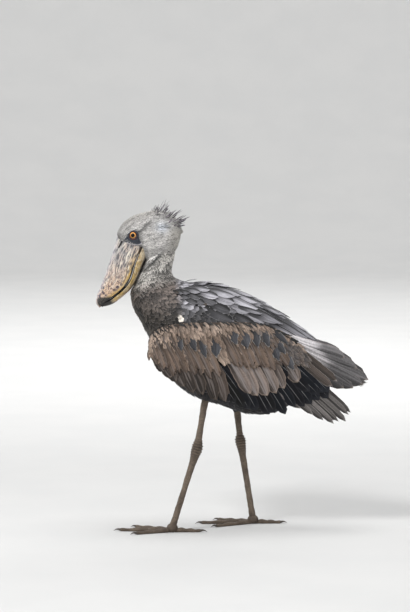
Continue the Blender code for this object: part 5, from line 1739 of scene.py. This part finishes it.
# Lights on the bird: name, place, size and power, all turned to LIT_POINT.
LIGHTS = (
    ("key", (-2.6, -3.4, 4.6), 1.6, 230.0),
    ("fill", (3.4, -3.4, 2.6), 3.5, 34.0),
    ("top", (0.2, 0.2, 4.8), 2.4, 90.0),
    ("back", (1.6, 4.0, 3.6), 3.0, 70.0),
    ("side", (-4.0, 2.0, 2.8), 3.0, 50.0),
)
LIT_POINT = Vector((0, 0, 0.45))
WALL_LIGHTS, WALL_LIGHT_REACH, WALL_LIGHT_HEIGHT, WALL_LIGHT_SIZE, WALL_LIGHT_POWER = 4, 4.0, 7.0, 4.0, 900.0
SKY_COLOUR, SKY_STRENGTH = (0.86, 0.87, 0.88, 1), 0.34
VIEW_TRANSFORM = "Standard"


def area_light(name, place, way, size, power):
    data = bpy.data.lights.new(name, "AREA")
    data.shape, data.size, data.energy = "DISK", size, power
    light = placed(name, data)
    light.location = place
    light.rotation_euler = way.to_track_quat("-Z", "Y").to_euler()


def make_lights():
    """Soft studio light on the bird, and lights that brighten the wall behind it all round."""
    for name, place, size, power in LIGHTS:
        area_light(name, place, LIT_POINT - Vector(place), size, power)
    for number in range(WALL_LIGHTS):
        turn = number * 2 * math.pi / WALL_LIGHTS
        out = Vector((math.cos(turn), math.sin(turn), 0))
        place = out * WALL_LIGHT_REACH + Vector((0, 0, WALL_LIGHT_HEIGHT))
        area_light(f"wall_{number}", place, out * 2 - Vector((0, 0, 0.8)), WALL_LIGHT_SIZE, WALL_LIGHT_POWER)
    world = bpy.data.worlds.new("studio")
    world.use_nodes = True
    sky = world.node_tree.nodes["Background"]
    sky.inputs["Color"].default_value = SKY_COLOUR
    sky.inputs["Strength"].default_value = SKY_STRENGTH
    bpy.context.scene.world = world
    bpy.context.scene.view_settings.view_transform = VIEW_TRANSFORM


# What differs from the usual feather in the look of each kind. Factors below 1 at the base and on one side
# are painted shade.
BODY_LOOKS = {
    "head_plumage": {"edge": 0.30, "edge_colour": (0.74, 0.73, 0.72), "shaft": 0.0, "base": 0.50,
                     "barbs": 0.25, "base_span": (0.50, 0.80)},
    "neck_plumage": {"edge": 0.40, "edge_colour": (0.62, 0.60, 0.57), "shaft": 0.10, "base": 0.34,
                     "base_span": (0.45, 0.80)},
    "body_plumage": {"edge": 0.30, "edge_colour": (0.33, 0.31, 0.30), "shaft": 0.25, "base": 0.22,
                     "barbs": 0.35, "base_span": (0.42, 0.78)},
    "crest_plumage": {"edge": 0.55, "edge_colour": (0.55, 0.53, 0.56), "shaft": 0.6, "base": 0.8,
                      "barbs": 0.25, "shaft_colour": (0.030, 0.027, 0.032)},
    "scapular_plumage": {"edge": 0.55, "edge_colour": (0.50, 0.49, 0.52), "base": 0.18, "barbs": 0.40,
                         "base_span": (0.40, 0.80), "stripes": (1.2, 3.0), "rim": (0.88, 0.97),
                         "shaded_side": 0.10, "shaded_side_span": (-0.45, 0.12)},
    "thigh_plumage": {"edge": 0.25, "edge_colour": (0.10, 0.09, 0.09), "shaft": 0.2, "base": 0.4},
    "tail_plumage": {"edge": 0.40, "edge_colour": (0.42, 0.38, 0.35), "shaft": 0.5, "base": 0.8,
                     "barbs": 0.25},
}


def feather_looks(plans):
    return {name: feather_shader(name, **plan) for name, plan in plans.items()}


# Coats of the trunk: name, first and last place, seed, span of places kept, rows of each feather and look.
TRUNK_COATS = (
    ("coat_neck", 0.25, 3.2, 71, (0.0, 3.25), 4, "neck_plumage"),
    ("coat_breast", 3.1, 7.5, 75, (3.15, 14.0), 5, "body_plumage"),
    ("coat_back", 7.4, 13.6, 79, (7.4, 14.0), 5, "body_plumage"),
)


def make_body():
    skin = new_object("skin", make_skin(), skin_shader())
    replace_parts(skin, "head", "neck", "torso", "thigh_left", "thigh_right")
    looks = feather_looks(BODY_LOOKS)
    new_object("coat_head", make_head_coat(), looks["head_plumage"])
    for name, first, last, seed, span, rows, look in TRUNK_COATS:
        mesh = make_trunk_coat(name, first, last, seed, span, rows)
        new_object(name, mesh, looks[look])
    new_object("crest", make_crest(), looks["crest_plumage"])
    make_scapulars(looks["scapular_plumage"])
    for number, word in enumerate(SIDES):
        mesh = make_thigh_coat(word, 91 + 4 * number)
        new_object(f"coat_thigh_{word}", mesh, looks["thigh_plumage"])
    tail = make_tail(looks["tail_plumage"])
    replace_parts(tail, "tail")


# What differs from the usual feather in each wing look. Factors below 1 at the base and on one side are
# painted shade, and a centre colour is a painted sheen.
WING_LOOKS = {
    "flight_feather": {"edge": 0.25, "edge_colour": (0.07, 0.07, 0.08), "shaft": 0.70, "base": 0.9,
                       "barbs": 0.35, "shaft_colour": (0.30, 0.30, 0.30), "shaft_width": 0.028,
                       "specular": 0.16},
    "greater_covert": {"edge_colour": (0.24, 0.18, 0.14), "shaft": 0.15, "base": 0.45, "barbs": 0.50,
                       "stripes": (0.8, 2.2), "base_span": (0.25, 0.60), "rim": (0.86, 0.94),
                       "centre": (0.155, 0.130, 0.120), "shaded_side": 0.50},
    "rear_covert": {"edge": 0.50, "edge_colour": (0.40, 0.31, 0.25), "shaft": 0.20, "base": 0.35,
                    "barbs": 0.50, "stripes": (0.8, 2.2), "base_span": (0.25, 0.60),
                    "rim": (0.84, 0.93), "centre": (0.235, 0.210, 0.205), "shaded_side": 0.30},
    "worn_covert": {"edge": 0.22, "edge_colour": BUFF, "shaft": 0.15, "base": 0.60, "barbs": 0.50,
                    "stripes": (0.9, 4.0), "base_span": (0.30, 0.75), "shaded_side": 0.70},
    "tertial": {"edge": 0.45, "edge_colour": (0.300, 0.245, 0.215), "shaft": 0.35, "base": 4.2,
                "barbs": 0.65, "stripes": (0.7, 2.4), "base_span": (0.42, 0.64), "rim": (0.86, 0.95),
                "shaded_side": 0.40},
    "long_tertial": {"edge": 0.75, "edge_colour": (0.36, 0.32, 0.30), "shaft": 0.60, "base": 0.6,
                     "barbs": 0.50, "stripes": (0.9, 2.6), "rim": (0.84, 0.95), "shaded_side": 0.55},
    "primary_feather": {"edge": 0.65, "edge_colour": (0.34, 0.32, 0.31), "shaft": 0.70, "base": 0.7,
                        "barbs": 0.45, "stripes": (0.9, 3.0), "rim": (0.80, 0.96), "shaded_side": 0.30,
                        "shaft_colour": (0.36, 0.34, 0.32), "shaft_width": 0.045},
    "fresh_covert": {"edge": 0.75, "edge_colour": (0.42, 0.40, 0.38), "shaft": 0.55, "base": 0.25,
                     "barbs": 0.45, "stripes": (0.8, 3.0), "base_span": (0.15, 0.75),
                     "rim": (0.80, 0.95), "shaded_side": 0.5},
    "shade": {"edge": 0.1, "edge_colour": (0.05, 0.045, 0.04), "shaft": 0.0, "base": 1.0, "barbs": 0.2},
}


def make_wings():
    looks = feather_looks(WING_LOOKS)
    looks["skin"] = skin_shader()
    for word, side in SIDES.items():
        make_wing(word, side, looks)


def make_face():
    upper, lower = upper_bill_shader(), lower_bill_shader()
    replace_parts(make_bill_half("bill_upper", UPPER_BILL, upper), "upper_bill")
    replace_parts(make_bill_half("bill_lower", LOWER_BILL, lower), "lower_bill")
    bare, eye = bare_skin_shader(), eye_shader()
    for word, side in SIDES.items():
        make_eye(word, side, eye)
        make_bare_skin(word, side, bare)


def make_legs():
    skin, horn = leg_shader(), claw_shader()
    for word, side in SIDES.items():
        leg = make_leg(word, side, skin)
        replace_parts(leg, f"tibia_{word}", f"tarsus_{word}", *[f"toe_{word}_{toe}" for toe in TOES])
        claws = joined_rods(f"claws_{word}", [claw_rings(word, toe) for toe in TOES], horn)
        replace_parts(claws, *[f"claw_{word}_{toe}" for toe in TOES])


make_camera()
make_floor()
make_lights()
make_body()
make_wings()
make_face()
make_legs()
